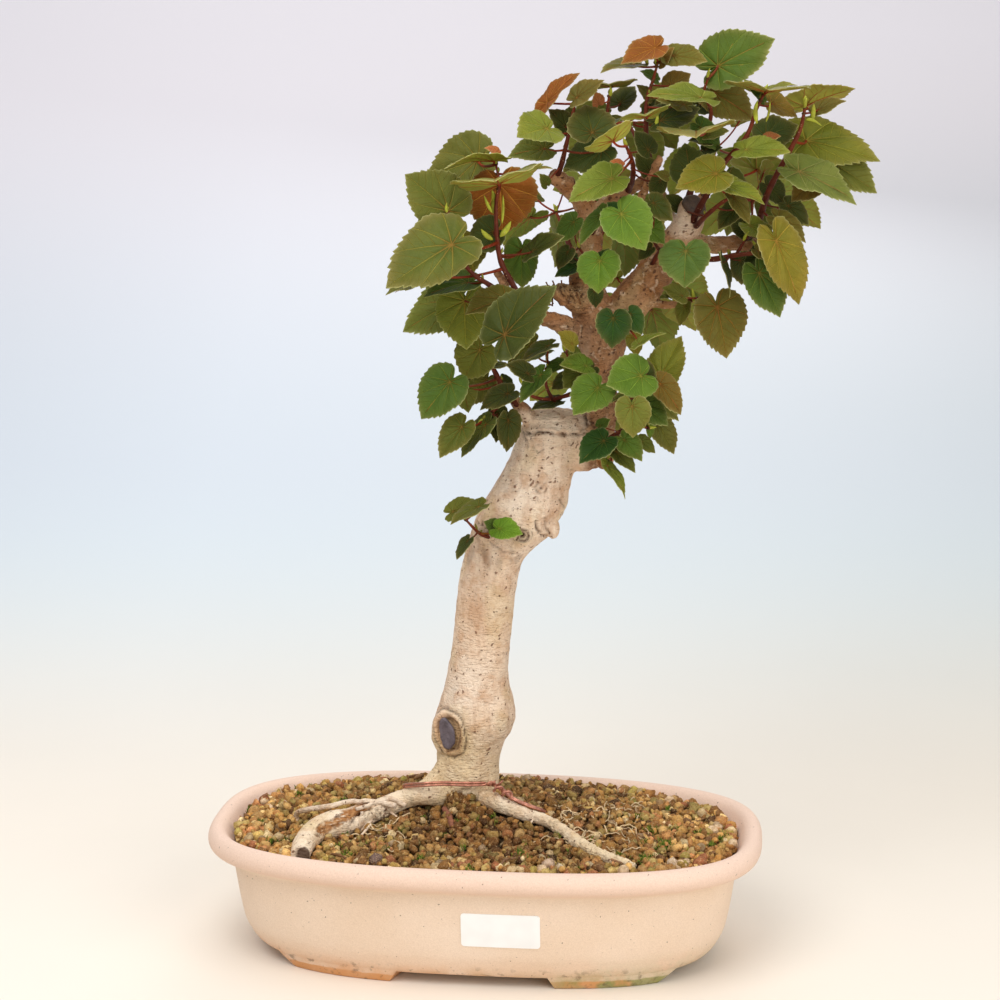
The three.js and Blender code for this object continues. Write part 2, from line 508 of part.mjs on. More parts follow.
// Trunk, roots and limbs, each grown thicker by "extra"
function wood(extra) {
  const parts = [];
  const rings = [];
  const trunkSides = 9;
  const oval = (middle, across, deep) => {
    const ring = [];
    for (let k = 0; k < trunkSides; k++) {
      const turn = (2 * Math.PI * k) / trunkSides;
      ring.push(middle.clone()
        .addScaledVector(viewRight, (across + extra) * Math.cos(turn))
        .addScaledVector(viewLevel, (deep + extra) * Math.sin(turn)));
    }
    return ring;
  };
  const base = seen((trunkSections[0][1] + trunkSections[0][2]) / 2, trunkSections[0][0], 0);
  for (const [z, radius] of [...trunkPlug].reverse()) {
    rings.push(oval(vec(base.x, base.y, z - extra), radius, radius));
  }
  for (const [y, left, right] of trunkSections) {
    const middle = seen((left + right) / 2, y, 0);
    const half = ((right - left) / 2) * unitAt(middle);
    rings.push(oval(middle, half, half * 0.95));
  }
  const last = trunkSections.at(-1);
  const crown = seen((last[1] + last[2]) / 2 + 1, last[0] - 3, 0);
  rings.push(oval(crown.addScaledVector(vec(0, 0, 1), extra), 9, 8));
  parts.push(loft(rings));
  for (const limb of Object.values(limbs)) {
    const points = limb.map(([x, y, near]) => seen(x, y, near));
    parts.push(bar(points, limb.map(([, , , r], i) => r * unitAt(points[i]) + extra), 5));
  }
  for (const root of Object.values(roots)) {
    const points = root.map(([x, y, z]) => seenAt(x, y, z));
    parts.push(bar(points, root.map(([, , , r], i) => r * unitAt(points[i]) + extra), 5));
  }
  for (const root of Object.values(buriedRoots)) {
    parts.push(bar(root.map(([x, y, z]) => vec(x, y, z)), root.map(([, , , r]) => r + extra), 5));
  }
  for (const [x, y, near, across, up, deep] of Object.values(knots)) {
    const ball = new THREE.SphereGeometry(1, 6, 4);
    const at = seen(x, y, near);
    const points = [];
    const triangles = [];
    const place = ball.attributes.position;
    const known = new Map();
    const number = [];
    for (let i = 0; i < place.count; i++) {
      const p = vec(place.getX(i), place.getY(i), place.getZ(i));
      const key = [p.x, p.y, p.z].map((v) => v.toFixed(5)).join().replaceAll('-0.00000', '0.00000');
      if (!known.has(key)) {
        known.set(key, points.length);
        points.push(at.clone()
          .addScaledVector(viewRight, p.x * (across + extra))
          .addScaledVector(vec(0, 0, 1), p.y * (up + extra))
          .addScaledVector(viewLevel, -p.z * (deep + extra)));
      }
      number.push(known.get(key));
    }
    for (let i = 0; i < ball.index.count; i += 3) {
      const corner = [0, 1, 2].map((k) => number[ball.index.getX(i + k)]);
      if (new Set(corner).size === 3) {
        triangles.push(corner);
      }
    }
    parts.push(solidFrom(points, triangles));
  }
  return join(parts);
}

// Flat disc facing a direction, its front "thick" ahead of its back
function disc(at, facing, up, half, thick, slant, sides) {
  const across = new THREE.Vector3().crossVectors(up, facing).normalize();
  const rise = new THREE.Vector3().crossVectors(facing, across).normalize();
  const rings = [0, thick].map((ahead) => {
    const ring = [];
    for (let k = 0; k < sides; k++) {
      const turn = (2 * Math.PI * k) / sides;
      const x = half[0] * Math.cos(turn);
      const y = half[1] * Math.sin(turn);
      const lean = radians(slant);
      ring.push(at.clone()
        .addScaledVector(facing, ahead)
        .addScaledVector(across, x * Math.cos(lean) - y * Math.sin(lean))
        .addScaledVector(rise, x * Math.sin(lean) + y * Math.cos(lean)));
    }
    return ring;
  });
  return loft(rings);
}

// Even draws from a seed
function drawer(seed) {
  let state = seed;
  for (let i = 0; i < 4; i++) {
    state = (state * 16807) % 2147483647;
  }
  return () => {
    state = (state * 16807) % 2147483647;
    return state / 2147483647;
  };
}

// Leaf edge: distance from the stalk end as a share of the length, at an angle from the tip
function leafEdge(angle) {
  const a = Math.abs(angle);
  const knotsAt = [0, 20, 45, 75, 105, 135, 160, 180];
  const shares = [1, 0.8, 0.69, 0.58, 0.5, 0.42, 0.3, 0.12];
  let i = 0;
  while (i < knotsAt.length - 2 && a > knotsAt[i + 1]) {
    i += 1;
  }
  return mix(shares[i], shares[i + 1], (a - knotsAt[i]) / (knotsAt[i + 1] - knotsAt[i]));
}

// Where a leaf lies when it is slid toward the viewer
function placeLeaf(row, slide) {
  const [x, y, tipX, tipY, near, reach, face, width] = row;
  const start = seen(x, y, near + slide);
  const tip = seen(tipX, tipY, near + reach + slide);
  const along = tip.clone().sub(start);
  const length = along.length();
  along.normalize();
  const toEye = eye.clone().sub(start).normalize();
  const front = toEye.clone().addScaledVector(along, -toEye.dot(along)).normalize();
  const side = new THREE.Vector3().crossVectors(along, front);
  if (side.z < 0) {
    side.negate();
  }
  const turn = radians(face);
  const up = front.clone().multiplyScalar(Math.cos(turn)).addScaledVector(side, Math.sin(turn));
  const across = new THREE.Vector3().crossVectors(up, along);
  return { start, along, across, up, length, width };
}

// Point of a leaf at an angle from the tip and a share of the way to the edge
function leafPoint(leaf, angle, share, edge) {
  const turn = radians(angle);
  const reach = edge * share * leaf.length;
  const forward = reach * Math.cos(turn);
  const sideways = reach * Math.sin(turn) * leaf.width;
  const lift = leafFold * Math.abs(sideways) - (leafDroop * forward * Math.abs(forward)) / leaf.length;
  return leaf.start.clone()
    .addScaledVector(leaf.along, forward)
    .addScaledVector(leaf.across, sideways)
    .addScaledVector(leaf.up, lift);
}

// Points that stand for a leaf's blade when leaves are kept apart
function bladePoints(leaf) {
  const points = [leaf.start.clone()];
  const ringsWanted = Math.max(1, Math.round(leaf.length / 6));
  for (let r = 1; r <= ringsWanted; r++) {
    const share = r / ringsWanted;
    const steps = Math.max(5, Math.round((2 * Math.PI * share * leaf.length * 0.6) / 5));
    for (let i = 0; i < steps; i++) {
      const angle = -180 + (360 * (i + 0.5)) / steps;
      points.push(leafPoint(leaf, angle, share, leafEdge(angle)));
    }
  }
  points.push(leafPoint(leaf, 0, 1, 1));
  return points;
}

// Point on a shoot's stems that a leaf stalk springs from
function stalkRoot(lines, at) {
  let best = null;
  for (const line of lines) {
    for (let i = 1; i < line.length; i++) {
      for (let k = 0; k <= 4; k++) {
        const point = line[i - 1].clone().lerp(line[i], k / 4);
        const cost = point.distanceTo(at) + (point.z > at.z ? 0.6 : 0.15) * Math.abs(point.z - at.z);
        if ((i > 1 || line.length === 2) && (!best || cost < best.cost)) {
          best = { cost, point };
        }
      }
    }
  }
  return best.point;
}

// Leaf stalk from the stem to the blade, with a soft bend
function stalkLine(root, leaf) {
  const end = leaf.start.clone();
  const middle = root.clone().lerp(end, 0.5);
  const sag = root.distanceTo(end) * 0.12;
  middle.addScaledVector(vec(0, 0, 1), -sag * 0.5).addScaledVector(leaf.along, sag * 0.5);
  return [root, middle, end];
}

function linePoints(line, step) {
  const points = [];
  for (let i = 1; i < line.length; i++) {
    const count = Math.max(1, Math.ceil(line[i].distanceTo(line[i - 1]) / step));
    for (let k = 0; k <= count; k++) {
      points.push(line[i - 1].clone().lerp(line[i], k / count));
    }
  }
  return points;
}

function nearest(some, others, enough) {
  let least = enough * enough;
  for (const p of some) {
    for (const q of others) {
      const d = p.distanceToSquared(q);
      if (d < least) {
        least = d;
      }
    }
  }
  return Math.sqrt(least);
}

// Rows for a shoot on the far side: leaves turn round the heart by the golden angle
function backRows({ heart, count, leaf, seed }) {
  const draw = drawer(seed);
  const rows = {};
  const unit = unitAt(seen(...heart));
  for (let i = 0; i < count; i++) {
    const turn = radians(137.5 * i + 40 * draw());
    const out = (backSpread * (0.45 + 0.55 * draw())) / unit;
    const long = (leaf * (0.8 + 0.45 * draw())) / unit;
    const dx = Math.cos(turn);
    const dy = Math.sin(turn) * 0.8;
    const x = heart[0] + dx * out * 0.8;
    const y = heart[1] + dy * out * 0.8;
    const near = heart[2] - 22 * draw();
    rows[`leaf${i + 1}`] = [x, y, x + dx * long * 0.7, y + (dy * 0.7 + 0.35) * long, near,
      -leaf * (0.25 + 0.4 * draw()), 118 + 34 * draw(), 0.85 + 0.25 * draw()];
  }
  return rows;
}

// All shoots with their stem lines, far side included
const shoots = {};
for (const [name, lines] of Object.entries(stems)) {
  shoots[name] = { lines, rows: leaves[name] };
}
for (const [name, back] of Object.entries(backShoots)) {
  const bend = back.root.map((v, i) => mix(v, back.heart[i], 0.5) + (i === 1 ? -3 : 0));
  shoots[name] = {
    lines: [[[...back.root, 2], [...bend, 1.6], [...back.heart, 1.1]]],
    rows: backRows(back),
  };
}
for (const shoot of Object.values(shoots)) {
  shoot.points = shoot.lines.map((line) => line.map(([x, y, near]) => seen(x, y, near)));
  shoot.radii = shoot.lines.map((line) => line.map(([, , , radius]) => radius));
}

// Limbs as points with a radius, to keep leaves out of the wood
const limbPoints = [];
for (const limb of Object.values(limbs)) {
  const points = limb.map(([x, y, near]) => seen(x, y, near));
  for (let i = 1; i < points.length; i++) {
    for (let k = 0; k < 6; k++) {
      const at = points[i - 1].clone().lerp(points[i], k / 6);
      limbPoints.push({ at, radius: mix(limb[i - 1][3], limb[i][3], k / 6) * unitAt(at) });
    }
  }
}
for (const [y, left, right] of trunkSections) {
  const at = seen((left + right) / 2, y, 0);
  limbPoints.push({ at, radius: ((right - left) / 2) * unitAt(at) });
}

// Clearance of a leaf from all that is placed before it, negative when something is too close
function clearance(name, points, stalk, placed) {
  let least = 9;
  for (const { at, radius } of limbPoints) {
    for (const p of points) {
      least = Math.min(least, p.distanceTo(at) - radius - apart.limb);
    }
  }
  for (const other of placed) {
    if (other.middle.distanceTo(points[0]) > 110) {
      continue;
    }
    const same = other.name === name;
    const blades = same ? apart.own : apart.blades;
    least = Math.min(least, nearest(points, other.blade, 12) - blades);
    if (!same) {
      least = Math.min(
        least,
        nearest(points, other.stalk, 12) - apart.bladeStalk,
        nearest(stalk, other.blade, 12) - apart.bladeStalk,
        nearest(stalk, other.stalk, 12) - apart.stalks,
      );
    }
    if (least < -6) {
      break;
    }
  }
  return least;
}

// Each leaf keeps its place in the front view and slides near or far until it is clear
const placed = [];
for (const [name, shoot] of Object.entries(shoots)) {
  for (const line of shoot.points) {
    const stalk = linePoints(line, 3).slice(2);
    placed.push({ name, blade: [], stalk, middle: line[1] });
  }
}
for (const [name, shoot] of Object.entries(shoots)) {
  shoot.leaves = [];
  for (const [leafName, row] of Object.entries(shoot.rows)) {
    let best = null;
    for (let slide = 0; slide <= slideMost; slide += slideStep) {
      for (const offset of slide ? [slide, -slide] : [0]) {
        if (best && best.free >= 0) {
          continue;
        }
        const leaf = placeLeaf(row, offset);
        const points = bladePoints(leaf);
        const line = stalkLine(stalkRoot(shoot.points, leaf.start), leaf);
        const stalk = linePoints(line.slice(0, 3), 3).slice(2);
        const free = clearance(name, points, stalk, placed);
        if (!best || free > best.free) {
          best = { free, leaf, points, line, stalk, offset };
        }
      }
    }
    placed.push({ name, blade: best.points, stalk: best.stalk, middle: best.points[0] });
    shoot.leaves.push({ leafName, ...best });
  }
}

// Leaf as one closed skin: a thin blade whose notch runs on into a three-sided stalk
function leafBody(leaf, root) {
  const half = leaf.up.clone().multiplyScalar(blade / 2);
  const angles = leaf.length > leafBig ? leafAnglesBig : leafAnglesSmall;
  const notch = leaf.across.clone().multiplyScalar(petiole);
  const edge = [
    leafPoint(leaf, 0, 1, leafEdge(0)),
    ...angles.map((angle) => leafPoint(leaf, angle, 1, leafEdge(angle))),
    leaf.start.clone().add(notch),
    leaf.start.clone().sub(notch),
    ...[...angles].reverse().map((angle) => leafPoint(leaf, -angle, 1, leafEdge(angle))),
  ];
  const count = edge.length;
  const right = angles.length + 1;
  const left = right + 1;
  const points = edge.flatMap((at) => [at.clone().add(half), at.clone().sub(half)]);
  points[2 * right + 1].copy(leaf.start).sub(half);
  const top = (i) => 2 * (i % count);
  const bottom = (i) => (i % count === left ? top(right) + 1 : top(i) + 1);
  const triangles = [];
  const fan = (a, b, c) => {
    triangles.push([top(a), top(b), top(c)]);
    if (bottom(a) !== bottom(b)) {
      triangles.push([bottom(a), bottom(c), bottom(b)]);
    }
  };
  for (let i = 0; i < angles.length; i++) {
    fan(right, i, i + 1);
    fan(left, left + i + 1, left + i + 2);
  }
  fan(right, left, 0);
  for (let i = 0; i < count; i++) {
    if (i !== right) {
      triangles.push([top(i), bottom(i), bottom(i + 1)], [top(i), bottom(i + 1), top(i + 1)]);
    }
  }
  const back = leaf.along.clone().negate();
  const elbow = leaf.start.clone().addScaledVector(back, stalkElbow);
  const away = root.clone().sub(elbow).normalize();
  const bend = new THREE.Quaternion().setFromUnitVectors(back, away);
  let ring = [top(right), top(left), bottom(left)];
  const stations = back.dot(away) > 0.35 ? [] : [[elbow, 1, false]];
  stations.push([root, rootTaper, true]);
  for (const [at, share, bent] of stations) {
    const next = [[1, 0.6], [-1, 0.6], [0, -1.1]].map(([side, up]) => {
      const arm = notch.clone().multiplyScalar(side).addScaledVector(leaf.up, up * petiole);
      arm.multiplyScalar(share);
      points.push(at.clone().add(bent ? arm.applyQuaternion(bend) : arm));
      return points.length - 1;
    });
    for (let k = 0; k < 3; k++) {
      const j = (k + 1) % 3;
      triangles.push([ring[k], next[k], next[j]], [ring[k], next[j], ring[j]]);
    }
    ring = next;
  }
  triangles.push([ring[0], ring[2], ring[1]]);
  // the notch's second lower corner isn't used
  points.splice(2 * left + 1, 1);
  const shiftIndex = (i) => (i > 2 * left + 1 ? i - 1 : i);
  return solidFrom(points, triangles.map((corner) => corner.map(shiftIndex)));
}

// Pot
let pot = loft(potProfile.map(([end, z, side]) => ovalRing(end, z, side)));
for (const [signX, signY] of [[1, 1], [1, -1], [-1, 1], [-1, -1]]) {
  pot = pot.add(foot(signX, signY));
}
for (const side of [-1, 1]) {
  pot = pot.subtract(post(side * drainHoleOut, 0, drainHoleRadius, 0, floorTop + 5, 16));
}

// Soil and the nets over the drain holes
let soil = soilBody();
const netSize = 26;
const netThick = 1;
const netCells = 3;
function slab(x0, x1, y0, y1, low, high) {
  const corners = (z) => [vec(x0, y0, z), vec(x1, y0, z), vec(x1, y1, z), vec(x0, y1, z)];
  return loft([corners(low), corners(high)]);
}
function net(centreX, grow) {
  const reach = netSize / 2 + grow;
  const low = floorTop + gap - grow;
  const high = floorTop + gap + netThick + grow;
  let plate = slab(centreX - reach, centreX + reach, -reach, reach, low, high);
  const cell = (netSize - 2) / netCells;
  for (let i = 0; grow === 0 && i < netCells * netCells; i++) {
    const x = centreX - netSize / 2 + 1 + cell * (i % netCells);
    const y = -netSize / 2 + 1 + cell * Math.floor(i / netCells);
    plate = plate.subtract(slab(x + 1, x + cell - 1, y + 1, y + cell - 1, low - 1, high + 1));
  }
  return plate;
}
const nets = [-1, 1].map((side) => net(side * drainHoleOut, 0));
for (const side of [-1, 1]) {
  soil = soil.subtract(net(side * drainHoleOut, gap));
}

// Trunk with the two closed wounds let into it
let trunk = wood(0);
const grownWood = wood(gap);
const woundTurn = radians(lowerWound.turn);
const woundFacing = viewLevel.clone().multiplyScalar(-Math.cos(woundTurn))
  .addScaledVector(viewRight, Math.sin(woundTurn));
const woundAt = seen(...lowerWound.at, lowerWound.near);
const upright = vec(0, 0, 1);
const lowerSeal = disc(woundAt, woundFacing, upright, lowerWound.half, sealThick, lowerWound.slant, 18);
const recess = disc(
  woundAt.clone().addScaledVector(woundFacing, -gap), woundFacing, upright,
  lowerWound.half.map((v) => v + gap), 14, lowerWound.slant, 18);
trunk = trunk.subtract(recess);
const armEnd = limbs.rightArm.slice(-2).map(([x, y, near]) => seen(x, y, near));
const cutFacing = armEnd[1].clone().sub(armEnd[0]).normalize();
const topSeal = disc(
  armEnd[1].clone().addScaledVector(cutFacing, gap), cutFacing, viewLevel,
  topCut.half, topCut.thick, 0, 14);

// Wire that ties the tree to the pot: up through the floor, round the trunk's foot and back
const wireRadius = 0.8;
const wireLeft = [-41, 17];
const wireUnder = floorUnder - 1.2;
// Places of the wire over the ground in the front view: x, y and height in mm
const wirePath = [
  [405, 786, 86.6], [424, 784.5, 90.6], [441, 783.5, 90.8], [466, 784, 89.6], [490, 784, 88.8],
  [498, 787, 87.6], [514, 799, 84], [530, 806, 80.4], [545, 812, 75], [553, 812, 66],
];
function wire(grow) {
  const [x, y] = wireLeft;
  const over = wirePath.map((place) => seenAt(...place));
  const end = over.at(-1);
  const points = [
    vec(end.x - 4, end.y, wireUnder), vec(x, y, wireUnder), vec(x, y, 66), vec(x - 1, y - 3, 80),
    ...over, vec(end.x, end.y, 40), vec(end.x, end.y, wireUnder + 2),
  ];
  return bar(points, Array(points.length).fill(wireRadius + grow), 5);
}

// Blank paper label on the front of the pot, following its curve
const labelFrom = -4;
const labelTo = 37;
const labelLow = 26;
const labelHigh = 45;
function potSkin(x, z) {
  let i = 0;
  while (potProfile[i + 1][1] < z) {
    i += 1;
  }
  const [end, low, side] = potProfile[i];
  const [nextEnd, high, nextSide] = potProfile[i + 1];
  const share = (z - low) / (high - low);
  const halfX = potLength / 2 - mix(end, nextEnd, share);
  const halfY = potWidth / 2 - mix(side, nextSide, share);
  return -halfY * (1 - (Math.abs(x) / halfX) ** potRoundness) ** (1 / potRoundness);
}
function label() {
  const columns = 5;
  const rings = [];
  for (let i = 0; i <= columns; i++) {
    const x = mix(labelFrom, labelTo, i / columns);
    const ring = [];
    for (const [out, zs] of [[0.65, [labelLow, 36, labelHigh]], [1.15, [labelHigh, 36, labelLow]]]) {
      for (const z of zs) {
        ring.push(vec(x, potSkin(x, z) - out, z));
      }
    }
    rings.push(ring);
  }
  return loft(rings);
}

soil = soil.subtract(grownWood);
const tie = wire(0);
soil = soil.subtract(wire(gap));
pot = pot.subtract(wire(wireHoleRadius - wireRadius));

const group = new THREE.Group();
group.name = 'sea_hibiscus_bonsai';
group.add(mesh('pot', pot, 0xe6cfb8, 0.9));
group.add(mesh('soil', mainBody(soil), 0x7a5a30, 1));
group.add(mesh('drain_net_left', nets[0], 0x202020, 0.7));
group.add(mesh('drain_net_right', nets[1], 0x202020, 0.7));
group.add(mesh('trunk', mainBody(trunk), 0xd9c2a4, 0.85));
group.add(mesh('lower_wound_seal', lowerSeal, 0x4c4b50, 0.6));
group.add(mesh('top_cut_seal', topSeal, 0x3a332c, 0.8));
group.add(mesh('tie_wire', tie, 0x8c463c, 0.4, 0.6));
group.add(mesh('paper_label', label(), 0xf4f4f2, 0.8));
for (const [name, shoot] of Object.entries(shoots)) {
  const parts = shoot.points.map((line, i) => bar(line, shoot.radii[i], 3));
  for (const { leaf, line } of shoot.leaves) {
    parts.push(leafBody(leaf, line[0]));
  }
  const green = name.startsWith('shoot_back') ? 0x3f5a1e : 0x4f7a26;
  group.add(mesh(name, mainBody(join(parts).subtract(grownWood)), green, 0.6));
}

// The part stands centred over the middle of its outline
const box = new THREE.Box3().setFromObject(group);
const shift = vec(-(box.min.x + box.max.x) / 2, -(box.min.y + box.max.y) / 2, -box.min.z);
for (const node of group.children) {
  node.geometry.translate(shift.x, shift.y, shift.z);
}

export default group;
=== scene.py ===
# Sea hibiscus bonsai: the finished look, built round the CAD frame
from math import ceil, cos, inf, pi, radians, sin
import bmesh
import bpy
import numpy as np
from mathutils import Matrix, Vector


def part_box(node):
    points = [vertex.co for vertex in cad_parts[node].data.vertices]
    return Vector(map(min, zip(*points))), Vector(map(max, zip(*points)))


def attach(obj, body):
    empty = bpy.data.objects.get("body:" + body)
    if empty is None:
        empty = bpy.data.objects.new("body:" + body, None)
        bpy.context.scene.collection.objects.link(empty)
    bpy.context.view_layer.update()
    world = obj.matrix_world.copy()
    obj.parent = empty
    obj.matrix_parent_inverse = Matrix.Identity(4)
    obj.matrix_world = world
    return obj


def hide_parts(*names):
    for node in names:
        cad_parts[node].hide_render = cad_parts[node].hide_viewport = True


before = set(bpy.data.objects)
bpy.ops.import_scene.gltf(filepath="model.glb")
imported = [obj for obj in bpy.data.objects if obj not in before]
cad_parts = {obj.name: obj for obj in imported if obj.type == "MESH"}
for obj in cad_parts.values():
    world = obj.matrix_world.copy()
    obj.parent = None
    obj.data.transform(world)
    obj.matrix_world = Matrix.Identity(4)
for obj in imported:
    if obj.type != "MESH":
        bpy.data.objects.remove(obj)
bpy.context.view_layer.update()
join = np.concatenate

# Places and sizes
# Places are worked out in mm with the pot's middle at x = y = 0, then moved to where the frame has it
potLow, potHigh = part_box("pot")
shiftMm = np.array([potLow.x + potHigh.x, potLow.y + potHigh.y, 0.0]) * 500

view = {
    "distance": 1200.0,  # mm from the eye to the point looked at
    "middle": 500,  # units from the left and the top of the square front view to its middle
    "zoom": 2268.0,  # units of that view for a slope of one
    "pitch": 11.3, "yaw": -6.5,
    "aim": (8.0, 0.0, 247.5),
    "treeFoot": (-6.0, 22.0, 80.0),
}
yaw, pitch = radians(view["yaw"]), radians(view["pitch"])
viewLevel = np.array([sin(yaw), cos(yaw), 0.0])
viewForward = np.array([sin(yaw) * cos(pitch), cos(yaw) * cos(pitch), -sin(pitch)])
viewRight = np.array([cos(yaw), -sin(yaw), 0.0])
viewUp = np.cross(viewRight, viewForward)
treeFoot = np.array(view["treeFoot"])
eye = np.array(view["aim"]) - viewForward * view["distance"]
upright = np.array([0.0, 0.0, 1.0])


def wayTo(x, y):
    # direction from the eye through units x, y of the front view
    x, y = np.asarray(x, float)[..., None], np.asarray(y, float)[..., None]
    return viewForward * view["zoom"] + viewRight * (x - view["middle"]) + viewUp * (view["middle"] - y)


def seen(x, y, near):
    # where that way meets the upright plane "near" mm in front of the tree's foot
    way = wayTo(x, y)
    target = treeFoot - viewLevel * np.asarray(near, float)[..., None]
    reach = ((target - eye) @ viewLevel) / (way @ viewLevel)
    return eye + way * reach[..., None]


def seenAt(x, y, z):
    # where that way is z mm over the ground
    way = wayTo(x, y)
    reach = (np.asarray(z, float) - eye[2]) / way[..., 2]
    return eye + way * reach[..., None]


def unitAt(point):
    # mm that fill one unit of the front view at a point
    return ((point - eye) @ viewForward) / view["zoom"]


def onView(points):
    # the inverse: units x, y at which points show
    away = points - eye
    depth = unitAt(points)
    return view["middle"] + (away @ viewRight) / depth, view["middle"] - (away @ viewUp) / depth


def unit(v):
    return v / np.linalg.norm(v, axis=-1, keepdims=True)


def turns(count):
    # angles that share a full turn evenly
    return np.arange(count) * 2 * pi / count


def ramp(low, high, x):
    # 0 to 1 from low to high, easing in and out
    t = np.clip((x - low) / (high - low), 0, 1)
    return t * t * (3 - 2 * t)


def bell(x, middle, wide):
    # 1 at the middle, falling off on both sides
    return np.exp(-((x - middle) / wide) ** 2)


def mound(x, y, middleX, middleY, wideX, wideY):
    # the same over a plane
    return np.exp(-((x - middleX) / wideX) ** 2 - ((y - middleY) / wideY) ** 2)


def ripple(p, size, seed):
    # cheap smooth noise from -1 to 1: five sine waves in turned directions
    draw = np.random.default_rng(seed)
    total = np.zeros(len(p))
    for i in range(5):
        way = unit(draw.normal(size=3)) * (2 * pi / size) * draw.uniform(0.7, 1.6)
        total += np.sin(p @ way + draw.uniform(0, 6.28) + 1.3 * np.sin(p @ np.roll(way, 1) * 0.6))
    return total / 3.2


def srgb(r, g, b):
    # colour from 0 to 255 as light intensities
    c = np.array([r, g, b]) / 255
    return np.where(c <= 0.04045, c / 12.92, ((c + 0.055) / 1.055) ** 2.4)


def rowsOf(text):
    # rows of numbers and words, with commas between the rows
    return [[word if word.isalpha() else float(word) for word in row.split()] for row in text.split(",")]


def placesOf(texts):
    return {name: np.array(rowsOf(text)) for name, text in texts.items()}


# Mesh helpers
def setColour(mesh, name, values):
    # a named colour on each point; a missing fourth part is 1
    rows = np.ones((len(mesh.vertices), 4), np.float32)
    rows[:, :np.shape(values)[-1]] = values
    mesh.attributes.new(name, "FLOAT_COLOR", "POINT").data.foreach_set("color", rows.ravel())


def meshFrom(name, points, quads=None, tris=None, colours=None, uv=None):
    # points in mm, faces as index arrays, colours as named point attributes, uv one row a point
    mesh = bpy.data.meshes.new(name)
    quads = np.zeros((0, 4), int) if quads is None else quads
    tris = np.zeros((0, 3), int) if tris is None else tris
    corners = join([quads.ravel(), tris.ravel()]).astype(np.int32)
    starts = join([np.arange(len(quads)) * 4, len(quads) * 4 + np.arange(len(tris)) * 3])
    mesh.vertices.add(len(points))
    mesh.vertices.foreach_set("co", ((points + shiftMm) / 1000).astype(np.float32).ravel())
    mesh.loops.add(len(corners))
    mesh.loops.foreach_set("vertex_index", corners)
    mesh.polygons.add(len(starts))
    mesh.polygons.foreach_set("loop_start", starts.astype(np.int32))
    mesh.update(calc_edges=True)
    mesh.polygons.foreach_set("use_smooth", np.ones(len(starts), bool))
    for key, values in (colours or {}).items():
        setColour(mesh, key, values)
    if uv is not None:
        mesh.uv_layers.new(name="flat").data.foreach_set("uv", uv[corners].astype(np.float32).ravel())
    mesh.validate()
    return mesh


class Heap:
    # gathers many small shapes into one mesh
    def __init__(self):
        self.points, self.quads, self.tris, self.colours, self.uv = [], [], [], {}, []
        self.count = 0

    def add(self, points, quads=None, tris=None, uv=None, **colours):
        for rows, faces in ((self.quads, quads), (self.tris, tris)):
            if faces is not None:
                rows.append(faces + self.count)
        for key, value in colours.items():
            rows = np.ones((len(points), 4))
            rows[:, :np.shape(value)[-1]] = value
            self.colours.setdefault(key, []).append(rows)
        if uv is not None:
            self.uv.append(uv)
        self.points.append(points)
        self.count += len(points)

    def mesh(self, name):
        whole = lambda rows: join(rows) if rows else None
        return meshFrom(name, whole(self.points), whole(self.quads), whole(self.tris),
                        {key: whole(rows) for key, rows in self.colours.items()}, whole(self.uv))


def addObject(name, data):
    thing = bpy.data.objects.new(name, data)
    bpy.context.scene.collection.objects.link(thing)
    return thing


def addPiece(name, shape, material, slot, *nodes):
    mesh = shape.mesh(name) if isinstance(shape, Heap) else shape
    piece = addObject(name, mesh)
    mesh.materials.clear()
    mesh.materials.append(material)
    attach(piece, "root")
    if nodes:
        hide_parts(*nodes)


def turnOut(mesh):
    # every closed skin's faces point away from its inside
    work = bmesh.new()
    work.from_mesh(mesh)
    bmesh.ops.recalc_face_normals(work, faces=work.faces)
    work.to_mesh(mesh)
    work.free()
    return mesh


def finished(thing, *tools):
    # the mesh that an object's modifiers make; the object and its tools then go
    graph = bpy.context.evaluated_depsgraph_get()
    mesh = bpy.data.meshes.new_from_object(thing.evaluated_get(graph))
    for one in (thing, *tools):
        bpy.data.objects.remove(one)
    return mesh


def smoothLine(points, step):
    # a soft curve through points (Catmull-Rom: each stretch leans on its two neighbours)
    points = np.asarray(points, float)
    if len(points) < 3:
        count = max(2, int(np.linalg.norm(points[-1, :3] - points[0, :3]) / step) + 1)
        t = np.linspace(0, 1, count)[:, None]
        return points[0] * (1 - t) + points[-1] * t
    padded = join([[2 * points[0] - points[1]], points, [2 * points[-1] - points[-2]]])
    out = []
    for i in range(1, len(points)):
        a, b, c, d = padded[i - 1:i + 3]
        count = max(1, int(np.ceil(np.linalg.norm(c[:3] - b[:3]) / step)))
        t = (np.arange(count) / count)[:, None]
        out.append(0.5 * (2 * b + (c - a) * t + (2 * a - 5 * b + 4 * c - d) * t ** 2
                          + (3 * b - a - 3 * c + d) * t ** 3))
    return join([*out, points[-1:]])


def ringFaces(rings, around, turned=False):
    # quads between rings of points, and triangles to the two end points that follow them
    ring, step = np.meshgrid(np.arange(rings - 1), np.arange(around), indexing="ij")
    a, b = ring * around + step, ring * around + (step + 1) % around
    quads = np.stack([a, b, b + around, a + around], -1).reshape(-1, 4)
    k, last, end = np.arange(around), (rings - 1) * around, np.full(around, rings * around)
    after = (k + 1) % around
    tris = join([np.stack([after, k, end], -1), np.stack([k + last, after + last, end + 1], -1)])
    return (quads[:, [0, 3, 2, 1]], tris[:, ::-1]) if turned else (quads, tris)


def ringSkin(rings, first, last, turned=False):
    # one closed skin from a grid of rings and its two end points
    return join([rings.reshape(-1, 3), [first, last]]), *ringFaces(*rings.shape[:2], turned)


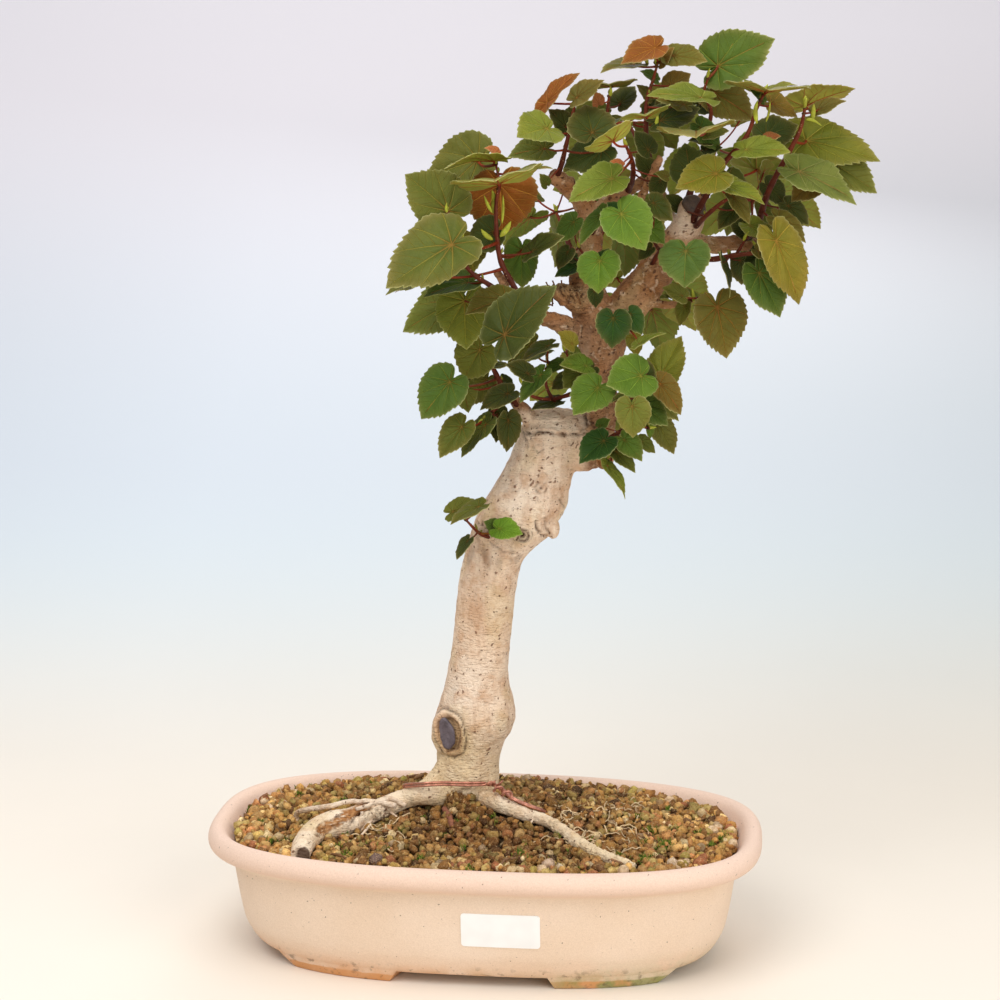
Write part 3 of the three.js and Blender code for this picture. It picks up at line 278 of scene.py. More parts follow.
def gridFaces(rows, columns):
    # quads of an open grid
    a = (np.arange(rows - 1)[:, None] * columns + np.arange(columns - 1)).ravel()
    return np.stack([a, a + 1, a + columns + 1, a + columns], -1)


def tube(points, radii, sides, squash=1.0):
    # rings carried along a path, each turned as little as possible from the one before
    points = np.asarray(points, float)
    radii = np.broadcast_to(np.asarray(radii, float), (len(points),))
    along = unit(np.gradient(points, axis=0))
    side = np.array([1.0, 0, 0]) if abs(along[0, 2]) > 0.9 else upright
    across = np.zeros_like(points)
    for i, way in enumerate(along):
        side = unit(side - way * (side @ way))
        across[i] = side
    other = np.cross(along, across)
    turn = turns(sides)[:, None]
    rings = points[:, None] + radii[:, None, None] * (
        across[:, None] * np.cos(turn) + other[:, None] * (squash * np.sin(turn)))
    return ringSkin(rings, points[0], points[-1])


def ball(centre, half, axes, around=24, rings=13):
    # closed ellipsoid: longitude and latitude on a grid, one point at each pole
    lat = np.linspace(-pi / 2, pi / 2, rings + 2)[1:-1]
    la, lo = np.meshgrid(lat, turns(around), indexing="ij")
    place = np.stack([np.cos(la) * np.cos(lo), np.cos(la) * np.sin(lo), np.sin(la)], -1).reshape(-1, 3)
    place = join([place, [[0, 0, -1], [0, 0, 1]]]) * half
    return centre + place @ axes, *ringFaces(rings, around)


def spindle(start, tip, thick, bend, sides=7, rings=9, squash=1.0):
    # a pointed bud: a tube whose radius swells and falls, bowed by "bend" mm
    t = np.linspace(0.02, 0.99, rings)
    line = start + (tip - start) * t[:, None] + np.asarray(bend) * (np.sin(pi * t))[:, None]
    return tube(line, thick * np.sin(pi * t ** 0.75) ** 0.8 + 0.08, sides, squash)


def viewLine(rows, at, step):
    # a soft line through rows x, y, nearness or height and radius in units, with its radius in mm
    rows = np.array(rows, float)
    places = at(*rows.T[:3])
    return smoothLine(np.column_stack([places, rows[:, 3] * unitAt(places)]), step)


# Material helpers
class Shader:
    # one Principled material and short ways to add and wire its nodes
    def __init__(self, name, roughness, specular=0.5, metallic=0.0):
        self.material = bpy.data.materials.new(name)
        self.material.use_nodes = True
        self.tree = self.material.node_tree
        self.main = self.tree.nodes["Principled BSDF"].inputs
        self.main["Roughness"].default_value = roughness
        self.main["Specular IOR Level"].default_value = specular
        self.main["Metallic"].default_value = metallic

    def node(self, kind, inputs=None, **settings):
        made = self.tree.nodes.new(kind)
        for key, value in settings.items():
            setattr(made, key, value)
        for key, value in (inputs or {}).items():
            self.put(made.inputs[key], value)
        return made.outputs

    def put(self, socket, value):
        if isinstance(value, bpy.types.NodeSocket):
            self.tree.links.new(value, socket)
        elif hasattr(value, "__len__") and len(value) == 3 and len(socket.default_value) == 4:
            socket.default_value = (*value, 1)
        else:
            socket.default_value = value

    def place(self, scale=(1, 1, 1)):
        coord = self.node("ShaderNodeTexCoord")["Object"]
        return self.node("ShaderNodeMapping", {0: coord, 3: scale})[0]

    def noise(self, scale, detail=3, where=None, roughness=0.55):
        return self.node("ShaderNodeTexNoise", {"Vector": where or self.place(), "Scale": scale,
                                                "Detail": detail, "Roughness": roughness})["Fac"]

    def cells(self, scale, where, feature="F1"):
        return self.node("ShaderNodeTexVoronoi", {"Vector": where, "Scale": scale}, feature=feature)

    def dots(self, scale, size, some, part, where):
        # round dots in the cells whose random value passes a limit
        cell = self.cells(scale, where)
        return self.times(self.math("LESS_THAN", cell["Distance"], size),
                          self.math("GREATER_THAN", self.split(cell["Color"])[part], some))

    def math(self, operation, a, b=0.0, clamp=False):
        return self.node("ShaderNodeMath", {0: a, 1: b}, operation=operation, use_clamp=clamp)[0]

    def times(self, *values):
        # the product of all values
        total = values[0]
        for value in values[1:]:
            total = self.math("MULTIPLY", total, value)
        return total

    def plus(self, a, b):
        return self.math("ADD", a, b)

    def minus(self, a, b, clamp=False):
        return self.math("SUBTRACT", a, b, clamp)

    def most(self, a, b):
        return b if a is None else self.math("MAXIMUM", a, b)

    def spread(self, value, low, high, toLow=0.0, toHigh=1.0, smooth=False):
        return self.node("ShaderNodeMapRange", {0: value, 1: low, 2: high, 3: toLow, 4: toHigh},
                         interpolation_type="SMOOTHSTEP" if smooth else "LINEAR")[0]

    def mix(self, share, a, b, blend="MIX"):
        return self.node("ShaderNodeMix", {0: share, 6: a, 7: b}, data_type="RGBA", blend_type=blend)[2]

    def shade(self, share, colour, factors):
        # a share of the colour gives way to its product with three factors
        return self.mix(share, colour, self.mix(1.0, colour, factors, "MULTIPLY"))

    def attribute(self, name):
        return self.node("ShaderNodeAttribute", attribute_name=name)

    def split(self, colour):
        return self.node("ShaderNodeSeparateColor", {0: colour})

    def bump(self, height, strength, distance, under=None):
        inputs = {"Height": height, "Strength": strength, "Distance": distance}
        if under:
            inputs["Normal"] = under
        return self.node("ShaderNodeBump", inputs)[0]

    def finish(self, colour, normal=None, roughness=None):
        for key, value in (("Base Color", colour), ("Normal", normal), ("Roughness", roughness)):
            if value is not None:
                self.put(self.main[key], value)
        return self.material


print("helpers ready")


# Pot
pot = {
    "length": 300.0, "width": 170.0,
    "roundness": 2.8,
    "around": 192,
    "drainOut": 62.0, "drainRadius": 8.0, "wireHole": 1.9,
    # specks: dark grit in the clay, also the colour of the painted shade in the crease above the feet
    "clay": srgb(236, 213, 190), "lipClay": srgb(232, 202, 181), "specksAndShade": srgb(88, 66, 50),
    "rust": srgb(208, 146, 88), "green": srgb(134, 136, 66),
}
# from the base edge over the lip and down to the floor: inset from the rim at the ends,
# height, inset at the long sides
potWall = np.array(rowsOf("""
    44 5.8 36, 37 5.8 27.5, 31 6.1 22.3, 27 7.3 19.8, 23.6 10.2 18.2, 21.2 14 16.8, 19 18.5 15.2, 17.4 25 13.7,
    16 33 12.3, 14.8 41 11.1, 13.8 48 10.2, 12.8 52.6 9.6, 10.8 55 8.6, 6.6 56.7 5.8, 2.9 58.5 2.8, 0.8 60.8 0.8,
    0 63.6 0, 0.5 66.6 0.5, 2.1 69 2.1, 4.4 70 4.4, 7 69.6 7, 9.2 67.8 9, 11 64.8 10.4, 13.4 60.6 12.2,
    16.4 55.4 14.4, 18.8 50 16.2, 21 42 18, 22.8 34 19.4, 25.6 25 21.8, 29 19 24.4, 33.4 15 28, 38 13 32, 44 13 38"""))


def ovalPlan(turn, inset, sideInset=None):
    # super-ellipse: x and y are half sizes times the cosine and sine to the power 2 / roundness
    c, s = np.cos(turn), np.sin(turn)
    power = 2 / pot["roundness"]
    sideInset = inset if sideInset is None else sideInset
    return np.stack([(pot["length"] / 2 - inset) * np.sign(c) * np.abs(c) ** power,
                     (pot["width"] / 2 - sideInset) * np.sign(s) * np.abs(s) ** power], -1)


def evenTurns(count):
    # angles that share the oval's edge evenly, because its power crowds them at the ends
    fine = np.linspace(0, 2 * pi, 4001)
    edge = ovalPlan(fine, 0)
    run = join([[0], np.cumsum(np.linalg.norm(np.diff(edge, axis=0), axis=1))])
    return np.interp(np.arange(count) / count * run[-1], run, fine)


def potSkin():
    # the wall's profile carried round the oval
    turn = evenTurns(pot["around"])
    wall = smoothLine(potWall, 1.7)
    plan = ovalPlan(turn, wall[:, :1], wall[:, 2:])
    wave = 0.35 * np.sin(3 * turn + 0.7) + 0.25 * np.sin(5 * turn)  # hand-made unevenness
    z = np.broadcast_to(wall[:, 1:2], plan.shape[:2]).copy()
    z += wave[None] * ramp(20, 60, z) * 0.6
    return ringSkin(join([plan, z[..., None]], -1), [0, 0, wall[0, 1]], [0, 0, wall[-1, 1]])


def footSkin(signX, signY):
    # a curved bar under one corner: a section carried along the oval, narrower toward the floor
    z = np.array([8.8, 7.0, 4.6, 1.2, 0.3, 0.0, 0.0, 0.3, 1.2, 5.0, 8.8])
    inset = np.array([0.0, 0.6, 1.4, 2.6, 3.0, 3.7, 16.2, 16.8, 17.2, 17.6, 18.0])
    low = 1 - z / z[0]
    turn = np.radians((34 + 9 * low) + np.linspace(0, 1, 25)[:, None] * (44.5 - 11.5 * low))
    points = join([ovalPlan(turn, 26.3 + inset, 19.2 + inset),
                   np.broadcast_to(z[None, :, None], (*turn.shape, 1))], -1)
    skin, quads, tris = ringSkin(points, points[0].mean(0), points[-1].mean(0))
    if signX * signY > 0:
        quads, tris = quads[:, ::-1], tris[:, ::-1]
    return skin * [signX, signY, 1], quads, tris


def drill(mesh, bores):
    # takes closed meshes out of another and returns the result as plain mesh
    base = addObject("drilled", mesh)
    tools = [addObject("bore", turnOut(bore)) for bore in bores]
    for tool in tools:
        cut = base.modifiers.new("bore", "BOOLEAN")
        cut.operation, cut.object, cut.solver = "DIFFERENCE", tool, "EXACT"
    return finished(base, *tools)


def potClay():
    s = Shader("unglazedClay", 0.78, 0.35)
    where = s.place()
    side, _, height = s.node("ShaderNodeSeparateXYZ", {0: s.node("ShaderNodeTexCoord")["Object"]})
    cloud, fine, grain = s.noise(18, 4, where), s.noise(420, 4, where), s.noise(1500, 2, where)
    body = s.mix(s.spread(cloud, 0.35, 0.65), pot["clay"], pot["clay"] * [0.95, 0.92, 0.88])
    body = s.mix(s.spread(height, 0.054, 0.06, smooth=True), body, pot["lipClay"])
    body = s.shade(s.spread(grain, 0.35, 0.7), body, (0.9, 0.88, 0.86))
    # fine dark grit: small cells whose random value passes a limit
    for scale, size, some in ((300, 0.13, 0.90), (620, 0.15, 0.93), (150, 0.075, 0.93)):
        grit = s.dots(scale, size, some, 0, s.mix(0.004, where, s.noise(260, 2, where)))
        body = s.mix(s.times(grit, 0.62), body, pot["specksAndShade"])
    # damp stains climb from the feet: rusty on the left and green on the right
    low = s.spread(s.plus(height, s.times(cloud, 0.012)), 0.021, 0.007, smooth=True)
    patch = s.spread(s.noise(55, 4, where), 0.36, 0.6)
    stain = s.mix(s.spread(side, -0.05, 0.03), pot["rust"], pot["green"])
    body = s.mix(s.times(low, patch, 0.72), body, stain)
    seep = s.times(s.spread(height, 0.024, 0.004, smooth=True), 0.22)
    uneven = s.plus(height, s.times(s.noise(130, 3, where), 0.0024))
    sole = s.times(s.spread(uneven, 0.0064, 0.0054), s.spread(s.noise(70, 4, where), 0.3, 0.6, 0.5, 0.9))
    solePaint = s.mix(s.spread(side, 0, 0.04), pot["rust"], pot["green"])
    solePaint = s.mix(s.spread(s.noise(60, 4, where), 0.5, 0.62), solePaint, pot["rust"])
    body = s.mix(s.most(seep, sole), body, solePaint)
    # painted shade darkens the crease above the feet, broken into patches
    creaseShade = s.times(s.spread(height, 0.0135, 0.0085), s.spread(s.noise(210, 5, where), 0.56, 0.66))
    body = s.mix(s.times(creaseShade, 0.5), body, pot["specksAndShade"])
    bumps = s.bump(grain, 0.3, 0.0002, s.bump(fine, 0.35, 0.0006))
    return s.finish(body, bumps, s.spread(cloud, 0.3, 0.7, 0.72, 0.86))


wireLeft = np.array([-41.0, 17.0])
wireOver = seenAt(*np.array([
    [405, 786, 86.6], [424, 784.5, 90.6], [441, 783.5, 90.8], [466, 784, 89.6], [490, 784, 88.8],
    [498, 787, 87.6], [514, 799, 84], [530, 806, 80.4], [545, 812, 75], [553, 812, 66]]).T)
bores = [(side * pot["drainOut"], 0, pot["drainRadius"], 40) for side in (-1, 1)]
bores += [(*place, pot["wireHole"], 20) for place in (wireLeft, wireOver[-1, :2])]
potMesh = drill(turnOut(meshFrom("potBody", *potSkin())),
                [meshFrom("bore", *tube([[x, y, 2], [x, y, 18]], radius, sides)) for x, y, radius, sides in bores])
clay = potClay()
potMesh.polygons.foreach_set("use_smooth", np.ones(len(potMesh.polygons), bool))
potMesh.set_sharp_from_angle(angle=radians(50))
addPiece("potBody", potMesh, clay, "unglazed_clay", "pot")
feet = Heap()
for signX in (-1, 1):
    for signY in (-1, 1):
        feet.add(*footSkin(signX, signY))
feetMesh = turnOut(feet.mesh("potFeet"))
feetMesh.set_sharp_from_angle(angle=radians(60))
addPiece("potFeet", feetMesh, clay, "unglazed_clay")
print("pot made")


# Shoots and limbs
# What each leafy shoot has in the front view, row after row. Stems: x, y, nearness and radius in mm.
# Leaves: stalk end x, y, tip x, y, nearness and reach of the tip in mm, turn of the face from the
# viewer in degrees, width over length, tint, and a mark on small ones. Young leaves are too small
# to be kept apart by rule, and the small rows close gaps of the crown.
# Buds: foot x, y, tip x, y, nearness, thickness in mm
shootRows = {"left_tall": {
    "stems": """
        510 292 32 2, 518 299 35.5 2, 514 287 37.5 1.9, 501 262 38 1.7, 497 236 38 1.5, 496 205 37 1.3,
        499 184 38 1.1, 496 164 35 0.9""",
    "leaves": """
        494 161 444 158 36 6 98 0.8 pale, 499 184 492 168 42 36 168 1.12 pale,
        500 185 504 238 31 -4 12 1.2 bronze, 478 160 424 175 24 -4 30 1 mid, 452 245 384 283 62 10 40 0.95 mid,
        437 275 384 290 50 4 74 0.9 mid, 494 232 466 246 22 -2 25 1.1 dark, 506 300 466 308 54 12 50 0.85 olive,
        505 335 550 282 45 4 35 0.8 dark, 522 250 520 290 22 -4 20 0.8 green, 532 252 561 232 36 5 60 0.8 dark""",
    "young": "497 153 486 146 32 2 60 1 ember",
    "small": "524 171 551 163 34 3 76 0.55 pale",
    "buds": """
        493 214 492 190 37 1.5, 492 213 484 195 39 0.8, 502 224 503 195 38 0.7, 493 240 481 229 39 1.3,
        500 237 511 221 40 1.5, 497 168 500 156 34 1.1""",
}, "left_long": {
    "stems": """
        514 303 31 1.8, 501 293 40 1.7, 488 284 43 1.6, 472 273 45 1.4, 458 254 47 1.2, 450 232 47 1,
        448 213 49 0.8""",
    "leaves": """
        448 211 408 173 54 6 25 1.05 mid, 447 232 406 238 38 -4 25 0.9 rust, 470 250 440 282 40 0 35 1 gold,
        468 283 423 290 53 6 62 0.8 green, 455 302 400 328 33 0 30 0.8 mid, 465 301 464 349 57 7 22 1.1 fresh""",
    "buds": "457 243 447 226 47 1.3, 468 250 458 262 46 1.2, 461 240 464 222 48 1.1",
}, "left_low": {
    "stems": """
        524 412 8 2.2, 509 396 15 2, 498 378 19 1.8, 484 350 23 1.4, 473 336 24 1; 509 396 15 1.6, 494 410 20 1.4,
        484 420 23 1""",
    "leaves": """
        450 382 419 417 36 4 22 0.95 green, 480 350 462 379 30 2 18 1.2 mid, 461 387 471 411 31 4 28 1 mid,
        486 380 468 404 22 0 30 1 mid, 508 394 479 406 27 4 45 0.85 dark, 462 427 438 456 32 6 30 0.8 mid,
        486 425 458 454 27 4 52 0.7 mid, 497 414 498 443 20 2 30 0.8 dark, 508 420 510 453 4 0 30 0.75 dark""",
    "small": "503 379 515 388 16 2 45 0.8 dark, 492 366 510 364 26 2 60 0.7 mid",
}, "shoulder": {
    "stems": """
        596 382 4 1.6, 576 392 14 1.5, 552 399 18 1.3, 532 396 20 1.2, 524 384 20 1; 552 399 18 1.2, 546 384 22 1,
        548 362 26 0.9""",
    "leaves": """
        549 346 521 356 34 4 62 0.75 dark, 546 352 520 360 24 0 66 0.8 light, 532 345 505 362 15 0 35 0.9 mid,
        528 374 508 362 24 4 45 0.9 dark, 541 375 518 400 38 6 35 0.6 green, 556 402 531 407 2 4 60 0.8 dark,
        568 378 551 388 18 0 35 0.9 dark""",
}, "fork_left": {
    "stems": "598 384 4 1.6, 584 376 16 1.4, 572 366 22 1.1, 566 352 24 0.9",
    "leaves": """
        572 344 560 331 27 3 40 1 gold, 586 366 562 361 35 6 45 0.85 bright, 582 372 563 387 33 5 25 1.1 mid,
        592 369 578 379 25 3 30 1 dark, 598 388 573 413 35 10 25 1 bright""",
    "young": "576 355 565 345 20 2 40 0.9 mid, 561 364 544 371 27 3 50 0.9 green",
}, "knob": {
    "stems": "500 540 8 1.5, 488 537 19 1.4, 478 532 24 1.2, 466 520 28 0.9",
    "leaves": """
        453 512 478 500 27 4 38 0.75 mid, 479 507 449 520 33 5 60 0.75 mid, 468 541 455 558 29 4 50 0.7 dark,
        499 529 522 532 30 6 35 0.95 lime""",
    "young": "497 529 486 521 24 4 30 1 green",
}, "top_left": {
    "stems": "556 178 6 1.8, 561 166 10 1.7, 565 150 12 1.5, 570 128 11 1.3, 575 104 10 1",
    "leaves": """
        547 129 518 133 22 10 50 1.35 fresh, 592 133 586 103 20 -6 15 1.4 dark, 547 103 573 68 8 2 60 0.6 bronze,
        577 98 602 78 12 4 50 0.8 olive, 544 149 508 152 10 4 40 0.8 mid, 602 150 563 166 4 0 30 0.9 dark""",
    "young": "546 184 541 174 15 3 30 0.9 mid",
    "small": "566 127 551 108 4 2 30 0.9 dark, 572 112 566 126 0 2 40 0.9 mid",
    "buds": "575 106 577 90 10 0.9",
}, "top_inner": {
    "stems": "611 156 -8 1.7, 609 142 0 1.5, 607 120 5 1.3, 609 96 8 1",
    "leaves": """
        611 87 608 78 12 22 165 1.1 olive, 603 128 627 115 12 4 82 0.75 mid, 620 104 634 84 -14 -4 35 1 dark""",
    "young": "598 103 596 92 15 3 30 1.1 ember",
}, "top_middle": {
    "stems": "652 178 -7 2, 649 158 -4 1.9, 646 128 -1 1.6, 647 100 0 1.4, 653 80 0 1.2, 658 62 1 0.9",
    "leaves": """
        655 48 620 60 6 4 48 0.85 bronze, 634 65 601 66 6 8 76 0.9 olive, 673 56 707 58 6 6 40 0.75 olive,
        671 86 690 72 -4 0 30 1 rust, 701 98 650 87 18 8 66 0.6 light, 684 105 658 96 8 2 50 0.75 olive,
        647 117 643 108 24 22 170 1 pale, 660 121 700 106 4 -2 40 0.8 dark, 650 172 636 152 4 0 25 0.8 dark""",
    "young": "661 62 672 46 2 2 40 0.85 rust",
    "small": """
        649 97 638 84 -8 2 45 0.8 olive, 655 79 642 69 -5 2 50 0.8 green, 647 112 655 98 -9 2 40 0.8 dark""",
    "buds": "648 66 646 52 1 1.0, 655 64 656 48 2 0.8, 653 130 657 112 4 1.1",
}, "top_front": {
    "stems": "628 192 -9 2, 633 176 6 1.8, 632 160 16 1.5, 626 146 22 1.2",
    "leaves": """
        613 141 601 130 28 22 165 1 pale, 612 179 568 196 43 6 40 0.8 light, 661 180 650 204 22 0 30 0.7 dark,
        648 150 636 130 12 0 30 0.9 dark""",
    "young": "621 165 611 160 26 2 40 0.8 ember, 666 177 656 172 30 2 40 0.9 olive",
}, "top_right": {
    "stems": "684 216 -4 2.2, 694 178 -12 2, 704 146 -10 1.7, 711 112 -6 1.4, 704 94 -4 1.2, 708 78 -1 0.9",
    "leaves": """
        718 66 773 35 2 4 22 0.85 green, 714 93 756 116 2 2 25 0.85 olive, 697 133 695 124 18 30 172 1.15 pale,
        690 174 686 143 18 0 10 1.2 dark, 700 128 722 150 8 0 30 0.75 green small,
        700 104 728 92 -16 -6 30 0.9 dark""",
    "small": """
        707 142 689 138 -4 2 58 0.8 dark, 708 135 728 128 -2 2 50 0.8 mid, 706 150 722 146 -6 2 40 0.9 dark""",
}, "right_high": {
    "stems": "692 222 6 2.2, 708 192 17 2, 722 166 20 1.9, 746 137 22 1.6, 757 108 24 1.3, 764 94 25 1",
    "leaves": """
        766 92 770 82 27 34 162 1.1 pale, 772 104 800 113 14 -4 50 0.9 rust, 766 136 799 122 4 -4 30 0.9 dark,
        746 150 789 146 42 8 50 0.65 light""",
    "young": "766 139 780 134 26 2 50 0.9 ember",
    "small": "760 98 746 78 20 2 58 0.6 green, 770 90 796 81 22 3 74 0.6 pale",
    "buds": "757 124 758 100 26 1.2, 766 122 770 101 26 0.9",
}, "right_far": {
    "stems": "752 244 -6 2.2, 760 218 -2 2.1, 769 190 9 2, 789 152 13 1.8, 800 130 14 1.5, 805 108 15 1.2",
    "leaves": """
        805 106 853 82 16 10 112 1.1 pale, 806 141 882 154 12 6 40 0.66 fresh, 826 160 881 189 2 0 35 0.64 mid,
        799 172 860 195 28 8 50 0.7 grey, 818 178 789 200 6 -2 30 0.9 rust, 768 186 788 204 0 0 30 0.85 dark,
        788 206 810 224 0 2 35 0.8 dark, 778 220 808 239 10 4 40 0.7 olive""",
    "small": "818 110 845 98 8 3 48 0.65 olive",
    "buds": "812 122 814 104 15 1.2, 806 120 822 126 17 0.8, 804 112 806 96 15 0.8",
}, "right_mid": {
    "stems": "696 226 8 1.8, 706 216 21 1.6, 720 204 27 1.4, 731 197 31 1",
    "leaves": """
        716 174 677 184 46 8 30 0.9 gold, 724 184 766 198 48 8 56 0.6 light, 733 197 752 222 34 4 45 0.65 olive,
        735 209 716 228 22 0 30 0.8 dark""",
    "small": "679 207 667 194 -4 2 35 0.9 dark",
    "buds": "731 198 741 190 32 0.9",
}, "right_low": {
    "stems": """
        698 246 -4 2, 708 259 8 1.9, 736 255 15 1.7, 757 252 19 1.4, 772 243 22 1; 736 255 15 1.1, 745 240 18 0.9""",
    "leaves": """
        759 273 783 316 28 4 25 0.8 green, 776 241 804 303 25 4 28 0.64 gold, 722 262 735 296 22 2 78 0.6 dark,
        740 260 744 285 12 0 35 1.05 dark, 750 226 778 242 26 6 45 0.75 light, 762 252 742 268 6 0 40 0.8 dark,
        758 251 775 261 22 2 45 0.9 olive, 748 232 729 218 10 0 30 0.9 dark, 762 208 774 234 14 0 35 0.65 mid""",
    "buds": "760 250 752 240 18 1.0",
}, "twig": {
    "stems": "684 303 5 1.5, 694 299 8 1.2, 700 298 11 1",
    "leaves": """
        717 307 729 358 17 4 20 0.95 olive, 685 306 678 325 12 2 35 0.8 mid small, 682 296 664 286 10 2 40 0.9 mid""",
    "buds": "694 302 692 288 9 1.1, 700 300 705 291 10 0.8",
}, "arm_right": {
    "stems": "650 268 4 1.5, 660 251 18 1.4, 671 246 30 1.2; 660 251 18 1.1, 650 236 22 0.9",
    "leaves": """
        686 251 683 286 42 7 15 1.3 dusty, 646 226 666 242 27 3 30 0.95 bright, 650 249 637 259 22 0 35 0.85 dark,
        653 203 674 220 16 0 30 0.85 dark""",
}, "arm_left": {
    "stems": "590 236 0 1.5, 599 224 14 1.3, 608 217 26 1.1",
    "leaves": """
        621 214 647 247 42 8 22 1.1 bright, 618 215 608 202 28 2 35 1.2 deep, 602 215 577 242 36 4 50 0.6 green""",
}, "arm_low": {
    "stems": "585 272 6 1.5, 591 264 17 1.4, 597 260 27 1.1; 591 264 17 1.1, 579 248 19 0.9",
    "leaves": """
        600 261 597 292 42 8 18 1.2 bright, 603 262 608 248 28 0 30 1.15 deep, 594 291 598 308 24 0 30 0.95 dark,
        574 222 554 242 24 0 30 0.8 green, 568 252 556 268 24 2 35 0.9 dark""",
    "small": "578 266 554 274 12 2 48 0.8 deep, 574 258 560 258 8 2 40 0.9 dark",
}, "mid_right": {
    "stems": "602 398 4 1.7, 626 400 14 1.6, 646 393 21 1.4, 659 383 22 1.1",
    "leaves": """
        661 376 680 335 24 -2 20 0.8 fresh, 641 376 607 384 44 10 25 1.1 bright, 646 375 636 356 22 0 25 0.9 dark,
        660 384 684 412 28 4 35 0.75 rust, 652 396 681 419 18 2 40 0.7 mid, 641 404 669 424 34 6 30 0.8 green,
        637 394 610 397 28 2 68 0.9 mid""",
    "buds": "659 384 668 372 23 0.9",
}, "crotch": {
    "stems": """
        600 446 4 1.7, 616 434 16 1.5, 634 426 22 1.3, 648 428 22 1; 616 434 16 1.2, 622 446 22 1.1,
        612 456 22 0.9""",
    "leaves": """
        632 406 634 437 36 6 15 1.05 mid, 648 420 652 440 30 2 50 0.6 bright, 655 420 677 453 16 2 30 0.7 mid,
        641 441 656 452 20 2 40 0.85 mid, 624 440 643 459 34 6 25 0.85 green, 616 452 637 471 27 3 45 0.75 mid,
        607 466 631 495 22 2 58 0.45 light, 604 441 579 460 40 8 30 0.9 deep""",
    "young": "600 426 610 419 30 2 30 0.9 green",
}, "fork_front": {
    "stems": "606 340 8 1.5, 617 332 20 1.3, 626 326 26 1",
    "leaves": """
        613 318 613 348 36 4 15 1.1 deep, 630 314 643 334 32 3 30 0.9 deep, 632 337 640 356 22 0 30 0.85 gold,
        639 344 664 330 26 4 70 0.6 light""",
}}
# Shoots on the far side, each grown by rule round its heart: root, heart, number of leaves,
# their length in mm and the seed
backShoots = {
    "back_left": [(572, 254, -42), (556, 212, -56), 6, 24, 11],
    "back_top": [(652, 176, -8), (628, 122, -38), 6, 24, 23],
    "back_middle": [(585, 284, -29), (612, 208, -62), 6, 25, 37],
    "back_right": [(703, 198, -45), (716, 148, -58), 7, 26, 41],
    "back_far": [(699, 207, -42), (752, 200, -48), 6, 24, 53],
    "back_low": [(631, 324, -43), (640, 290, -56), 6, 22, 67],
    "back_shoulder": [(600, 400, -4), (604, 378, -40), 5, 20, 71],
}
# Limbs: x, y, nearness in mm, radius in units
limbs = placesOf({
    "crotch": "566 452 -2 20, 588 448 0 24, 603 452 2 18, 613 458 4 11",
    "crotchStub": "598 456 4 9, 604 461 14 8, 605 462 20 6",
    "second": """
        580 455 -2 18, 592 436 0 21, 599 412 0 18, 601 390 0 16, 599 366 0 19, 602 342 0 25, 607 318 0 30,
        610 304 0 22""",
    "leftArm": """
        600 330 0 22, 589 300 3 19, 585 270 2 15, 591 238 -2 12, 586 208 -4 10.5, 572 190 0 9.5, 551 174 6 7.5""",
    "brokenStub": "596 312 4 13, 574 299 11 11, 556 291 14 8",
    "lowStub": "588 335 6 11, 562 324 14 9.5, 543 317 19 7.5",
    "cutBranch": "556 322 15 7, 532 311 25 6, 514 299 31 5, 496 271 34 4.4",
    "rightArm": "611 326 0 22, 628 306 0 20, 648 282 0 19, 670 252 -2 17.5, 687 226 0 15.5, 694 206 2 13.5",
    "rightBranch": "684 240 -4 11, 712 245 -6 9, 742 243 -2 7.5, 768 250 4 6",
    "rightTwig": "642 300 2 6, 668 305 4 3.4, 690 302 6 2.8",
    "topBranch": "589 222 -4 10, 608 203 -10 8, 632 188 -10 6.5, 656 174 -6 5",
    "topStub": "612 202 -10 5, 610 176 -8 5, 609 150 -8 5",
    "paleStick": "628 222 -2 4.6, 636 207 8 4.4, 649 182 14 4.2, 661 156 17 4",
    "innerTwig": "676 222 -4 4, 668 206 -6 3.4, 661 190 -7 2.8",
    "shoulderTwig": "534 424 4 9, 521 408 9 7, 513 398 11 5",
    "backLeft": "596 312 -8 12, 584 285 -28 8.5, 570 250 -46 6",
    "backRight": "664 262 -8 11, 684 228 -28 8, 704 196 -48 5.5",
    "backLow": "601 360 -8 10, 618 342 -28 6.5, 632 322 -46 4.5",
})
# Trunk sections: height, left and right edge in the front view
trunkSections = np.array(rowsOf("""
    801 436 497, 785 433 499.5, 760 437 499.5, 740 436 504, 726 435 513, 712 436 515.5, 694 443 512, 675 447 508,
    640 452 510, 580 460 518, 548 466 533, 532 471 552, 514 477 562, 495 488 569, 465 505.6 577, 436 517 583,
    420 524 584, 413 532 578"""))
# how a leaf lies and how far leaves are kept apart
leafLaw = {
    "edgeAt": [0, 20, 45, 75, 105, 135, 160, 180],
    "edge": [1, 0.8, 0.69, 0.58, 0.5, 0.42, 0.3, 0.12],
    "fold": 0.16, "droop": 0.14,
    "slideStep": 4, "slideMost": 36, "backSpread": 34,  # mm
    # least gaps in mm: blade to blade, blade to stalk, stalk to stalk, blades of one shoot, limb
    "blades": 5.4, "bladeStalk": 4.0, "stalks": 2.6, "own": 3.6, "limb": 2.2,
    "farthest": 110,  # shoots whose middles are farther off aren't compared
    "tooTight": -6,
}


def evenDraw(seed):
    # the same run of even draws as the solids were grown with
    state = [seed]

    def draw():
        state[0] = (state[0] * 16807) % 2147483647
        return state[0] / 2147483647
    for _ in range(4):
        draw()
    return draw


